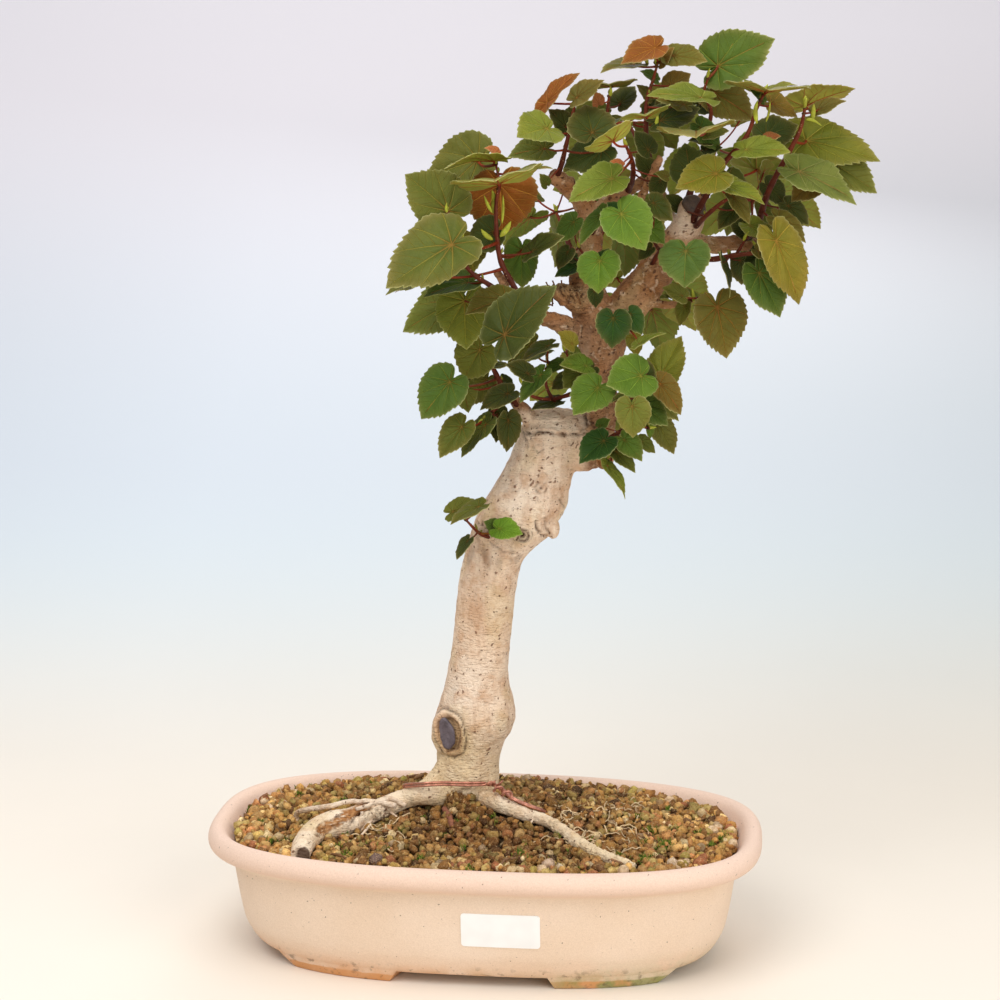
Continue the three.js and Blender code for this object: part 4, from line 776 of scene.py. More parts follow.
def backRows(heart, count, long, seed):
    # leaves that turn round the heart by the golden angle
    draw = evenDraw(seed)
    size = unitAt(seen(*heart))
    rows = []
    for i in range(count):
        turn = radians(137.5 * i + 40 * draw())
        out = leafLaw["backSpread"] * (0.45 + 0.55 * draw()) / size
        reach = long * (0.8 + 0.45 * draw()) / size
        dx, dy = cos(turn), sin(turn) * 0.8
        x, y = heart[0] + dx * out * 0.8, heart[1] + dy * out * 0.8
        rows.append((x, y, x + dx * reach * 0.7, y + (dy * 0.7 + 0.35) * reach,
                     heart[2] - 22 * draw(), -long * (0.25 + 0.4 * draw()), 118 + 34 * draw(),
                     0.85 + 0.25 * draw(), ("mid", "green", "olive", "dark")[i % 4]))
    return rows


def leafPoints(leaf, angle, reach):
    # polar place on a blade: angle from the tip, reach in mm; folded at the rib, drooping at the tip
    turn = np.radians(angle)
    forward = reach * np.cos(turn)
    sideways = reach * np.sin(turn) * leaf["width"]
    lift = leafLaw["fold"] * np.abs(sideways) - leafLaw["droop"] * forward * np.abs(forward) / leaf["length"]
    return (leaf["start"] + forward[..., None] * leaf["along"] + sideways[..., None] * leaf["across"]
            + lift[..., None] * leaf["up"])


def bladePoints(leaf):
    # places spread over a blade, about 6 mm apart
    angles, reaches = [0.0], [0.0]
    rings = max(1, int(leaf["length"] / 6 + 0.5))
    for r in range(1, rings + 1):
        steps = max(5, int(2 * pi * r / rings * leaf["length"] * 0.6 / 5 + 0.5))
        turn = -180 + 360 * (np.arange(steps) + 0.5) / steps
        edge = np.interp(np.abs(turn), leafLaw["edgeAt"], leafLaw["edge"])
        angles.extend(turn)
        reaches.extend(edge * r / rings * leaf["length"])
    return leafPoints(leaf, np.array([*angles, 0.0]), np.array([*reaches, leaf["length"]]))


def stalkRoot(lines, at):
    # the place on the stems that is nearest to a leaf, and rather below it than above
    points = join([
        line[i - 1] + (line[i] - line[i - 1]) * (np.arange(5) / 4)[:, None]
        for line in lines for i in range(1 if len(line) < 3 else 2, len(line))])
    over = points[:, 2] - at[2]
    cost = np.linalg.norm(points - at, axis=1) + np.where(over > 0, 0.6, 0.15) * np.abs(over)
    return points[np.argmin(cost)]


def growLeaf(shoot, row, slide=0):
    # a leaf's axes, along it, across it and up from its face, and the line of its stalk
    x, y, tipX, tipY, near, reach, face, width, tint, *kind = row
    start, tip = seen(x, y, near + slide), seen(tipX, tipY, near + reach + slide)
    length = np.linalg.norm(tip - start)
    along = (tip - start) / length
    toEye = unit(eye - start)
    front = unit(toEye - along * (toEye @ along))
    side = np.cross(along, front)
    side = -side if side[2] < 0 else side
    up = front * cos(radians(face)) + side * sin(radians(face))
    root = stalkRoot(shoot["points"], start)
    sag = np.linalg.norm(start - root) * 0.12
    return {"start": start, "along": along, "across": np.cross(up, along), "up": up,
            "length": length, "width": width, "tint": tint, "draw": smallDraw if "small" in kind else leafDraw,
            "line": [root, (root + start) / 2 - upright * sag * 0.5 + along * sag * 0.5, start]}


def linePoints(line):
    # places every 3 mm along a line, without the first two
    out = []
    for a, b in zip(line[:-1], line[1:]):
        count = max(1, ceil(np.linalg.norm(b - a) / 3))
        out.append(a + (b - a) * (np.arange(count + 1) / count)[:, None])
    return join(out)[2:]


class Placed:
    # all blades and stalks so far, as points with the number of their owner
    def __init__(self):
        self.names, self.middles = [], []
        self.joined = {"blade": np.zeros((0, 4)), "stalk": np.zeros((0, 4))}

    def add(self, name, blade, stalk, middle):
        for key, points in (("blade", blade), ("stalk", stalk)):
            if len(points):
                rows = np.column_stack([points, np.full(len(points), len(self.names))])
                self.joined[key] = join([self.joined[key], rows])
        self.names.append(name)
        self.middles.append(middle)

    def nearest(self, points, key):
        # least distance from points to each owner's set, 12 mm at most
        least = np.full(len(self.names), 12.0)
        rows = self.joined[key]
        low, high = points.min(0) - 12, points.max(0) + 12
        rows = rows[np.all((rows[:, :3] > low) & (rows[:, :3] < high), axis=1)]
        if len(rows):
            gaps = np.linalg.norm(points[:, None] - rows[None, :, :3], axis=2).min(0)
            np.minimum.at(least, rows[:, 3].astype(int), gaps)
        return least

    def clearance(self, name, blade, stalk):
        # how much room a blade and its stalk have beyond the least gaps
        gaps = np.linalg.norm(blade[:, None] - limbDots[None, :, :3], axis=2) - limbDots[:, 3]
        least = min(9.0, float(gaps.min()) - leafLaw["limb"])
        close = np.linalg.norm(np.array(self.middles) - blade[0], axis=1) <= leafLaw["farthest"]
        same = np.array([owner == name for owner in self.names])
        room = self.nearest(blade, "blade") - np.where(same, leafLaw["own"], leafLaw["blades"])
        stalk = stalk if len(stalk) else blade[:1]
        others = np.minimum(self.nearest(blade, "stalk") - leafLaw["bladeStalk"],
                            np.minimum(self.nearest(stalk, "blade") - leafLaw["bladeStalk"],
                                       self.nearest(stalk, "stalk") - leafLaw["stalks"]))
        room = np.where(same, room, np.minimum(room, others))[close]
        run = np.minimum.accumulate(join([[least], room]))
        tight = np.nonzero(run[1:] < leafLaw["tooTight"])[0]
        return run[1 + tight[0]] if len(tight) else run[-1]


shoots = {name: {kind: rowsOf(text) for kind, text in texts.items() if kind != "stems"}
          for name, texts in shootRows.items()}
for name, texts in shootRows.items():
    shoots[name]["stems"] = [rowsOf(line) for line in texts["stems"].split(";")]
for name, (root, heart, *grown) in backShoots.items():
    bend = [(a + b) / 2 + (-3 if i == 1 else 0) for i, (a, b) in enumerate(zip(root, heart))]
    shoots[name] = {"stems": [[[*root, 2], [*bend, 1.6], [*heart, 1.1]]], "leaves": backRows(heart, *grown)}
for shoot in shoots.values():
    shoot["points"] = [seen(*np.array(line, float).T[:3]) for line in shoot["stems"]]
limbDots = []
for limb in limbs.values():
    line = np.column_stack([seen(*limb.T[:3]), limb[:, 3]])
    for a, b in zip(line[:-1], line[1:]):
        for k in range(6):
            *at, radius = a + (b - a) * k / 6
            limbDots.append([*at, radius * unitAt(at)])
for y, left, right in trunkSections:
    at = seen((left + right) / 2, y, 0)
    limbDots.append([*at, (right - left) / 2 * unitAt(at)])
limbDots = np.array(limbDots)

placed = Placed()
leafDraw, smallDraw = np.random.default_rng(814), np.random.default_rng(52)
for name, shoot in shoots.items():
    for line in shoot["points"]:
        placed.add(name, [], linePoints(line), line[1])
slides = [0] + [side * slide for slide in range(leafLaw["slideStep"], leafLaw["slideMost"] + 1,
                                                leafLaw["slideStep"]) for side in (1, -1)]
for name, shoot in shoots.items():
    shoot["grown"] = []
    for row in shoot["leaves"]:
        free = -inf
        for slide in slides:
            leaf = growLeaf(shoot, row, slide)
            blade, stalk = bladePoints(leaf), linePoints(leaf["line"])
            room = placed.clearance(name, blade, stalk)
            if room > free:
                free, best = room, (leaf, blade, stalk)
            if free >= 0:
                break
        leaf, blade, stalk = best
        placed.add(name, blade, stalk, blade[0])
        shoot["grown"].append(leaf)
    shoot["grown"] += [growLeaf(shoot, [*row, kind]) for kind in ("young", "small") for row in shoot.get(kind, [])]
print("leaves placed:", sum(len(shoot["grown"]) for shoot in shoots.values()))


# Leaves
leafMake = {
    "thick": 0.3,  # mm
    "teethEvery": 1.55,  # mm of leaf length for each tooth on a side
    "toothDepth": 0.05,
    "rows": [0.1, 0.24, 0.4, 0.56, 0.72, 0.86, 0.97, 1.0],
    "edgeAt": [0, 5, 12, 24, 45, 75, 105, 135, 155, 168, 176, 180],
    "edge": [1, 0.93, 0.86, 0.785, 0.69, 0.585, 0.505, 0.43, 0.35, 0.24, 0.12, 0.06],
    "veins": [0, 33, 68, 110, 150],  # degrees from the tip at which veins leave the stalk
    # ribs below the blade: degrees, share of the way to the edge, radius in mm
    "ribs": [(0, 0.82, 0.42), (33, 0.6, 0.26), (-33, 0.6, 0.26), (68, 0.55, 0.22), (-68, 0.55, 0.22)],
    "puff": 0.027, "wave": 0.026,
    "margin": srgb(132, 92, 44), "rim": srgb(206, 202, 142),
}
# each tint: upper side, under side, veins above, veins below, stalk
tints = {
    "dark": "62 74 30, 98 112 56, 92 92 42, 128 108 60, 104 50 30",
    "deep": "46 80 32, 92 114 60, 70 104 48, 118 124 70, 104 70 38",
    "mid": "98 106 42, 126 136 66, 126 118 56, 150 112 60, 128 54 32",
    "green": "78 106 40, 118 134 64, 108 124 54, 146 126 66, 118 62 36",
    "bright": "88 118 38, 128 150 68, 126 154 66, 150 158 80, 122 80 42",
    "lime": "106 144 38, 144 170 70, 146 182 76, 160 178 90, 146 104 54",
    "light": "112 126 44, 142 154 74, 144 152 74, 160 148 80, 140 66 38",
    "fresh": "112 122 44, 134 144 66, 150 146 64, 162 132 68, 128 54 34",
    "olive": "102 98 38, 126 124 58, 130 98 46, 150 104 56, 122 46 28",
    "gold": "114 112 36, 148 144 66, 156 136 60, 166 130 66, 130 54 32",
    "rust": "118 96 38, 140 120 58, 150 110 50, 156 100 54, 132 46 28",
    "bronze": "148 82 28, 160 94 40, 190 134 66, 200 140 74, 126 40 28",
    "ember": "176 104 66, 184 116 76, 200 136 88, 196 128 86, 140 52 34",
    "pale": "120 128 54, 142 148 66, 154 108 54, 158 90 46, 150 56 28",
    "grey": "102 112 50, 126 138 86, 134 138 84, 148 134 86, 128 56 36",
    "dusty": "82 106 48, 112 130 70, 104 124 62, 136 134 78, 112 66 38",
}
tintLight = {key: [srgb(*c) * [0.98, 0.9, 0.76] for c in rowsOf(text)] for key, text in tints.items()}


def edgeReach(angle):
    # soft version of the blade's outline: the knots joined, then averaged over a few degrees
    spread = np.array([-6, -3, 0, 3, 6])
    a = np.abs(angle)[..., None] + spread * np.minimum(1, np.abs(angle)[..., None] / 14)
    a = np.where(a > 180, 360 - a, np.abs(a))
    return np.interp(a, leafMake["edgeAt"], leafMake["edge"]).mean(-1)


def fineLeaf(heap, ribs, leaf):
    # two sheets on a polar grid: toothed edge, folded rib, drooping tip, puffed between the veins
    size, width, draw = leaf["length"], leaf["width"], leaf["draw"]
    teeth = int(np.clip(size / leafMake["teethEvery"], 7, 17))
    half = teeth * 3
    fine = np.linspace(0, 180, 721)
    reach = edgeReach(fine)
    x, y = reach * np.cos(np.radians(fine)), reach * np.sin(np.radians(fine)) * width
    run = join([[0], np.cumsum(np.hypot(np.diff(x), np.diff(y)))])
    oneSide = np.interp(np.arange(half + 1) / half * run[-1], run, fine)
    angle = join([oneSide, 360 - oneSide[-2:0:-1]])
    away = np.minimum(angle, 360 - angle)
    step = join([np.arange(half + 1), np.arange(half - 1, 0, -1)])
    tooth = np.array([0.0, 1.0, 0.5])[step % 3] - 0.5
    strength = draw.uniform(0.65, 1.3, teeth + 1)[step // 3]
    tooth = tooth * strength * leafMake["toothDepth"] * ramp(3, 12, away) * (1 - ramp(150, 170, away))
    share = np.array(leafMake["rows"])[:, None]
    reach = size * (edgeReach(away) * (1 + tooth * share ** 6)) * share
    turn = np.broadcast_to(angle, reach.shape)
    points = leafPoints(leaf, turn, reach)
    veins = leafMake["veins"] + [180]
    between = np.interp(away, veins, np.arange(len(veins))) % 1
    puff = size * leafMake["puff"] * np.sin(pi * between) ** 2 * share * (1.25 - share) * 2.4
    rad = np.radians(turn)
    wave = size * leafMake["wave"] * share ** 3 * (
        np.sin(draw.integers(3, 6) * rad + draw.uniform(0, 6)) + 0.6 * np.sin(7 * rad + draw.uniform(0, 6)))
    forward, sideways = reach * np.cos(rad) / size, reach * np.sin(rad) / size
    curl = size * (draw.uniform(-0.10, 0.03) * np.maximum(forward, 0) ** 3
                   + draw.uniform(-0.06, 0.06) * forward * sideways)
    points = points + (puff + wave + curl)[..., None] * leaf["up"]
    rows, columns = reach.shape
    sheet = join([leaf["start"][None], points.reshape(-1, 3)])
    flat = join([[[0, 0]], np.stack([forward, sideways], -1).reshape(-1, 2)])
    count = len(sheet)
    top = ringFaces(rows, columns, True)[0] + 1
    k = np.arange(columns) + 1
    after = np.roll(k, -1)
    fan = np.stack([np.zeros(columns, int), k, after], -1)
    k, after = k + (rows - 1) * columns, after + (rows - 1) * columns
    rim = np.stack([k, k + count, after + count, after], -1)
    upper, under, veinTop, veinUnder = tintLight[leaf["tint"]][:4]
    mood = draw.uniform(0.84, 1.16) * np.array([draw.uniform(0.93, 1.1), 1, draw.uniform(0.85, 1.1)])
    margin = join([[0], np.repeat(share.ravel() ** 5, columns)])[:, None] * draw.uniform(0, 0.35)
    # a thin pale rim along the teeth
    pale = (share ** 60 * (0.42 + 0.2 * np.sin(2.3 * rad + size))).ravel()
    pale = join([[0], pale])[:, None]
    # the under side keeps its own paler tint, raised by a further third: painted light standing in for light shining
    # through the blade
    above, below = ((colour * (1 - margin) + leafMake["margin"] * margin) * (1 - pale) + leafMake["rim"] * pale
                    for colour in (upper * mood, under * mood * 1.35))
    lift = leaf["up"] * leafMake["thick"] / 2
    heap.add(join([sheet + lift, sheet - lift]),
             join([top, top[:, ::-1] + count, rim]), join([fan, fan[:, ::-1] + count]),
             uv=join([flat, flat]),
             tint=np.column_stack([join([above, below]), np.arange(2 * count) < count]),
             vein=np.repeat([veinTop, veinUnder], count, axis=0))
    # ribs stand out below the blade along its main veins
    for vein, far, thick in leafMake["ribs"]:
        t = np.linspace(0.0, 1.0, 7)
        out = size * far * t * edgeReach(np.array([vein]))[0]
        line = leafPoints(leaf, np.full(7, float(vein)), out) - leaf["up"] * (leafMake["thick"] / 2 + 0.02)
        ribs.add(*tube(line, np.interp(t, [0, 1], [thick, 0.1]) * min(1.2, size / 26 + 0.25), 4), tint=veinUnder)


def leafMaterial():
    s = Shader("leafBlade", 0.5, 0.13)
    tint, vein = s.attribute("tint"), s.attribute("vein")["Color"]
    flat = s.node("ShaderNodeUVMap", uv_map="flat")[0]
    u, v = s.node("ShaderNodeSeparateXYZ", {0: flat})[:2]
    v = s.math("ABSOLUTE", v)
    reach = s.math("SQRT", s.plus(s.times(u, u), s.times(v, v)))
    theta = s.math("ARCTAN2", v, u)

    def ray(turn):
        # how far along a ray out of the stalk, and beside it
        ahead = s.plus(s.times(u, cos(turn)), s.times(v, sin(turn)))
        return ahead, s.minus(s.times(u, sin(turn)), s.times(v, cos(turn)))

    def thin(apart, wide):
        # 1 on the middle of a line, 0 where it ends
        return s.minus(1.0, s.math("DIVIDE", s.math("ABSOLUTE", apart), wide), clamp=True)

    lines = None
    for i, turn in enumerate(np.radians(leafMake["veins"]).tolist()):
        # a vein: the distance from a ray, which bows a little toward the tip
        ahead, aside = ray(turn)
        bow = s.times(reach, reach, 0.16 * sin(turn))
        wide = s.spread(reach, 0, 0.9, 0.023 if i == 0 else 0.017, 0.007)
        lines = s.most(lines, s.times(s.math("LESS_THAN", 0, ahead), thin(s.minus(aside, bow), wide)))
    # side veins: slanting lines at even steps, in the wedge beside the rib and in the one beyond it
    for low, high, lean, gap in ((0.0, 33.0, 0.9, 0.155), (33.0, 68.0, 0.75, 0.14)):
        ahead, aside = ray(radians(low))
        run = s.math("DIVIDE", s.minus(ahead, s.times(s.math("ABSOLUTE", aside), lean)), gap)
        inside = s.times(s.math("GREATER_THAN", theta, radians(low)), s.math("LESS_THAN", theta, radians(high)))
        line = s.times(thin(s.minus(s.math("FRACT", run), 0.5), 0.055), inside, 0.75)
        lines = s.most(lines, line)
    quilt = s.cells(14, flat, "DISTANCE_TO_EDGE")["Distance"]
    lines = s.most(lines, s.times(s.spread(quilt, 0, 0.07, 1, 0), 0.14))
    where = s.place()
    speck = s.noise(900, 2, where)
    blade = s.shade(s.spread(s.noise(90, 3, where), 0.32, 0.7), tint["Color"], (0.72, 0.8, 0.7))
    blade = s.shade(s.spread(speck, 0.62, 0.78, 0, 0.35), blade, (1.5, 1.45, 1.4))
    # painted shade darkens the blade along the veins' flanks, in the creases of its quilting, and the blade is
    # yellower toward its edge
    blade = s.shade(s.spread(quilt, 0.02, 0.2, 0.22, 0), blade, (0.74, 0.8, 0.66))
    blade = s.shade(s.spread(reach, 0.45, 0.95, 0, 0.4), blade, (1.3, 1.16, 0.9))
    # veins are reddest beside the stalk
    ribs = s.mix(s.spread(reach, 0.02, 0.34, 0.55, 0), s.mix(1, vein, (1.6, 1.68, 1.5), "MULTIPLY"),
                 srgb(150, 80, 42))
    # veins sink into the upper side and stand out below
    normal = s.bump(s.times(lines, s.spread(tint["Alpha"], 0, 1, 1, -1)), 0.8, 0.0007)
    normal = s.bump(speck, 0.12, 0.0003, s.bump(quilt, 0.14, 0.0005, normal))
    return s.finish(s.mix(s.times(lines, 0.85), blade, ribs), normal,
                    s.spread(tint["Alpha"], 0, 1, 0.75, 0.52))


def youngWoodMaterial():
    s = Shader("youngStem", 0.5, 0.16)
    tint = s.mix(1, s.attribute("tint")["Color"], (1.12, 0.98, 0.7), "MULTIPLY")
    where = s.place()
    streak = s.noise(240, 3, where)
    colour = s.shade(s.spread(streak, 0.35, 0.65), tint, (0.62, 0.55, 0.55))
    pores = s.dots(700, 0.2, 0.72, 1, where)
    return s.finish(s.mix(s.times(pores, 0.5), colour, srgb(196, 160, 120)), s.bump(streak, 0.3, 0.0003))


stemTint = {
    "old": srgb(74, 34, 26), "young": srgb(126, 58, 36),
    "bud": srgb(168, 184, 72), "budTip": srgb(142, 150, 62), "scar": srgb(96, 66, 44),
}
bladeMaterial, stemMaterial = leafMaterial(), youngWoodMaterial()
for name, shoot in shoots.items():
    blades, stems = Heap(), Heap()
    for points, rows in zip(shoot["points"], shoot["stems"]):
        radii = np.array(rows, float)[:, -1]
        line = smoothLine(np.column_stack([points, radii]), 1.6)
        t = np.linspace(0, 1, len(line))[:, None]
        tint = stemTint["old"] * (1 - t) ** 0.7 + stemTint["young"] * (1 - (1 - t) ** 0.7)
        swell = 1 + 0.06 * np.sin(np.arange(len(line)) * 1.1)
        slim = 0.92 - 0.24 * t[:, 0]
        stems.add(*tube(line[:, :3], line[:, 3] * slim * swell, 9),
                  tint=join([np.repeat(tint, 9, axis=0), tint[:1], tint[-1:]]))
        tip, way = points[-1], unit(points[-1] - points[-2])
        bend = leafDraw.normal(size=3) * 0.4
        stems.add(*spindle(tip - way, tip + way * 4.5 + upright, radii[-1] * 0.85, bend), tint=stemTint["bud"])
    for leaf in shoot["grown"]:
        fineLeaf(blades, stems, leaf)
        draw, (root, middle, end) = leaf["draw"], leaf["line"]
        end = end - leaf["up"] * 0.25
        knee = 2 * middle - (root + end) / 2
        t = np.linspace(0, 1, 12)[:, None]
        path = root * (1 - t) ** 2 + 2 * knee * t * (1 - t) + end * t ** 2
        thick = np.interp(t[:, 0], [0, 0.12, 0.85, 1], [0.95, 0.62, 0.52, 0.7]) * min(1.25, 0.5 + leaf["length"] / 40)
        stems.add(*tube(path, thick, 7), tint=tintLight[leaf["tint"]][4] * draw.uniform(0.8, 1.2))
        if draw.random() < 0.55:
            bud = root + unit(path[3] - root) * 0.6 + upright * 0.8
            stems.add(*spindle(bud, bud + upright * draw.uniform(1.8, 3.4) + draw.normal(size=3) * 0.5, 0.62,
                               np.zeros(3), 6, 6), tint=stemTint["budTip"])
        stems.add(*ball(root, [1.15, 1.15, 0.9], np.eye(3), 8, 5), tint=stemTint["scar"])
    for x, y, tipX, tipY, near, thick in shoot.get("buds", []):
        stems.add(*spindle(seen(x, y, near), seen(tipX, tipY, near), thick, leafDraw.normal(size=3) * 0.7,
                           squash=0.55), tint=stemTint["bud"])
    addPiece("leaves_" + name, blades, bladeMaterial, "leaf", "shoot_" + name)
    addPiece("stems_" + name, stems, stemMaterial, "shoot_stem", "shoot_" + name)
print("leaves made")


# Trunk, roots and limbs
wood = {
    "voxel": 0.85,  # mm, grain of the joined skin
    "plug": [[27, 4], [46, 9], [66, 15]],  # buried foot: height, radius
    "pale": srgb(244, 222, 198), "cream": srgb(231, 199, 167), "tan": srgb(196, 147, 106),
    "arm": srgb(156, 98, 46), "pore": srgb(114, 66, 36), "deep": srgb(72, 41, 22),
    "bare": srgb(190, 138, 88), "olive": srgb(228, 206, 152),
}
# finer sections between those of the solid: height, left and right edge in the front view
trunkFine = np.array(rowsOf("""
    801 436 497, 788 433 499.5, 776 433 499, 760 437 499.5, 742 436 504, 728 435 512, 714 436 515.5, 698 441 513,
    680 446 509, 655 450.5 509, 625 454.5 512, 590 458 516, 560 463 523, 545 467 537, 532 471 552, 518 476 560,
    504 483 567.5, 490 491 569.5, 472 502 574, 455 510.5 579, 436 517 583, 422 523 584, 413 531 579"""))
roots = placesOf({
    "left": """
        448 795 80 12, 424 794 82.5 11, 404 799 79 10, 388 806 76.5 10.5, 369 813 74.5 11.5, 350 821 72.7 13.5,
        331 826 71.5 14.5, 315 832 70.3 13, 304 844 69.1 11.5, 300 856 67.5 10""",
    "right": """
        477 794 80 10, 500 804 79.5 8.5, 524 814 76.3 7, 545 820 74.1 6, 562 830 71.7 6.3, 582 845 68.9 6.2,
        602 855 67.6 6, 620 862 66.6 5.6, 635 868 64.6 4.4""",
    # where the trunk widens into the left root
    "skirt": "458 735 112 7, 447 758 100 7.5, 437 774 91 6.6, 424 786 85 6.4, 404 797 80.5 8",
})
thinRoots = placesOf({
    "over": """
        396 806 79.5 3, 378 802 81 2.6, 350 801.5 82 2.4, 329 806 80.5 2.6, 308 809.5 76 2.8, 297 813 71.5 2.6,
        297 822 66 2.6""",
    "overLow": "405 806 77.5 2.6, 392 799 81.5 2.4, 376 803 80.6 2.2, 356 809 79.8 2",
    "hairA": "372 820 72.5 2, 362 830 69 1.5, 360 838 63 1.4",
    "hairB": "362 812 78 1.6, 360 822 72.7 1.4, 358 832 68 1.2",
    "hairC": "390 812 75 1.4, 397 818 73 1.2, 399 824 69.5 1",
    "hairD": "536 812 77.5 1.1, 531 824 73 1, 532 832 69 0.9",
    "hairE": "352 842 67 1.2, 362 834 69.5 1.2, 371 824 72.5 1.2",
})
buriedRoots = [[[-6, 24, 73, 9], [4, 44, 60, 5.5], [10, 58, 46, 3]],
               [[-8, 24, 73, 9], [-30, 40, 60, 5], [-48, 48, 46, 3]]]
# lumps: x, y, nearness in the front view, half size in mm across, up and deep
lumps = rowsOf("""
    522 535 20 6.0 6.0 3.6, 553 528 11 3.4 6.2 4, 489 533 14 7 4.6 6, 551 417 3 14 5 12, 446 733 12.5 8.2 12.6 4.2,
    541 489 18.7 3.2 2.8 2.2, 556 507 5 4.6 7 7, 604 461 17 4 4.4 4""")

# the right arm was sawn at a slope that faces the viewer
armStart, armEnd = seen(*limbs["rightArm"][-2:].T[:3])
armWay = unit(armEnd - armStart)
cutSlope = radians(34)
cutFacing = unit(armWay * cos(cutSlope) - viewLevel * sin(cutSlope))
cutRadius = 6.3


def limbTube(rows, at):
    line = viewLine(rows, at, 2.0)
    return tube(line[:, :3], np.maximum(line[:, 3], 0.6), 20)


def trunkMiddle(rows):
    # the trunk's middle line
    return seen((rows[:, 1] + rows[:, 2]) / 2, rows[:, 0], 0)


def woodHeap():
    # the trunk as rings round its middle line, with limbs, roots and lumps that overlap it
    heap = Heap()
    middle = trunkMiddle(trunkFine)
    half = (trunkFine[:, 2] - trunkFine[:, 1]) / 2 * unitAt(middle)
    crown = trunkMiddle(trunkFine[-1:] + [-3, 1, 1])[0]
    rows = [[*middle[0, :2], z, r] for z, r in wood["plug"]] + [[*m, h] for m, h in zip(middle, half)]
    line = smoothLine(np.array([*rows, [*crown, 9]]), 3)
    turn = turns(36)
    # lobes: the old trunk isn't round
    lobe = 1 + 0.035 * np.sin(3 * turn + line[:, 2:3] * 0.02) + 0.02 * np.sin(5 * turn - line[:, 2:3] * 0.05)
    rings = (line[:, None, :3] + viewRight * (line[:, 3:4] * np.cos(turn))[..., None]
             + viewLevel * (line[:, 3:4] * 0.95 * lobe * np.sin(turn))[..., None])
    heap.add(*ringSkin(rings, rings[0].mean(0), rings[-1].mean(0)))
    for limb in limbs.values():
        heap.add(*limbTube(limb, seen))
    for root in roots.values():
        heap.add(*limbTube(root, seenAt))
    for root in buriedRoots:
        line = smoothLine(root, 2)
        heap.add(*tube(line[:, :3], line[:, 3], 16))
    axes = np.array([viewRight, upright, -viewLevel])
    heap.add(*ball(armEnd + armWay * 3, [6.7, 6.7, 6.7], axes))
    for x, y, near, *half in lumps:
        heap.add(*ball(seen(x, y, near), half, axes))
    return heap


def joinSkins(mesh):
    # closed skins that overlap become one, by a voxel grid, then a light smoothing
    piece = addObject("joined", mesh)
    grid = piece.modifiers.new("grid", "REMESH")
    grid.mode, grid.voxel_size, grid.use_smooth_shade = "VOXEL", wood["voxel"] / 1000, True
    soft = piece.modifiers.new("soft", "SMOOTH")
    soft.factor, soft.iterations = 0.5, 3
    return finished(piece)


def readPoints(mesh, key):
    rows = np.empty(len(mesh.vertices) * 3, np.float32)
    mesh.vertices.foreach_get(key, rows)
    return rows.reshape(-1, 3).astype(float)


def toLine(x, y, line):
    # distance in view units from places to a broken line, and the share of the way along it
    best, share = np.full(len(x), 1e9), np.zeros(len(x))
    line = np.array(line, float)
    for i, (a, b) in enumerate(zip(line[:-1], line[1:])):
        way = b - a
        t = np.clip(((x - a[0]) * way[0] + (y - a[1]) * way[1]) / (way @ way), 0, 1)
        d = np.hypot(x - a[0] - way[0] * t, y - a[1] - way[1] * t)
        share = np.where(d < best, (i + t) / (len(line) - 1), share)
        best = np.minimum(best, d)
    return best, share


# cracks in the front view: line, half width in units, depth in mm, darkness of the painted shade in them
cracks = [
    ("527 433, 545 432, 560 434.5, 572 434.5, 583 434, 592 430, 597 424", 1.3, 1.5, 1.0),
    ("583 410, 585 417, 586 425, 583 431", 1.9, 1.6, 1.0),
    ("519 423, 523 432, 526 440, 528 447", 1.0, 1.0, 0.85),
    ("591 416, 592 424, 598 431", 1.1, 0.9, 0.6),
    ("544 449, 538 453, 533 447", 0.9, 0.6, 0.6),
    ("536 521, 537 529, 541 535, 546 537", 1.2, 1.5, 0.9),
    ("545 518, 546 527, 549 533", 0.9, 0.9, 0.7),
    ("488 541, 497 548, 503 552, 514 554", 0.9, 0.7, 0.6),
    ("478 523, 487 527, 497 529, 503 531", 1.6, 1.2, 0.9),
    ("537 496, 536.5 503", 0.8, 0.4, 0.5),
    ("597 318, 599 332, 600 345", 1.2, 1.0, 0.6),
    ("334 827, 347 820, 360 813, 372 809", 1.0, 0.6, 0.4),
    ("353 822, 358 816, 361 812", 2.2, 1.8, 1.0),
    ("497 789, 503 797, 512 803", 0.8, 0.5, 0.4),
    ("455 796, 462 790, 470 789", 0.9, 0.8, 0.5),
    ("572 470, 571 480, 570 492", 1.0, 0.8, 0.5),
    ("560 500, 566 508, 562 515", 1.1, 0.9, 0.6),
]
# soft bumps and pits in the front view: x, y, radius in units, height in mm
dimples = rowsOf("""
    522 535 3.6 -3.6, 505 762 2.2 -0.5, 479 776 3 0.6, 541 488 1.8 -0.9, 565 480 6 0.9, 496 497 7 0.7,
    513 470 8 0.5, 300 852 4 -0.8, 604 461 2.6 -1.0, 507 714 9 0.9, 470 700 10 0.5, 487 640 9 -0.35, 466 600 9 0.35,
    497 583 8 0.4, 560 300 5 0.8, 596 300 7 0.9, 640 300 8 0.6, 664 262 8 0.8, 600 360 8 0.9, 615 345 6 0.8""")
# the ring knot, the low collar with the wound in it, and the sawn end of the low stub
knotAt, collarAt, stubAt = (522, 535), (449.5, 733), (604.5, 461)


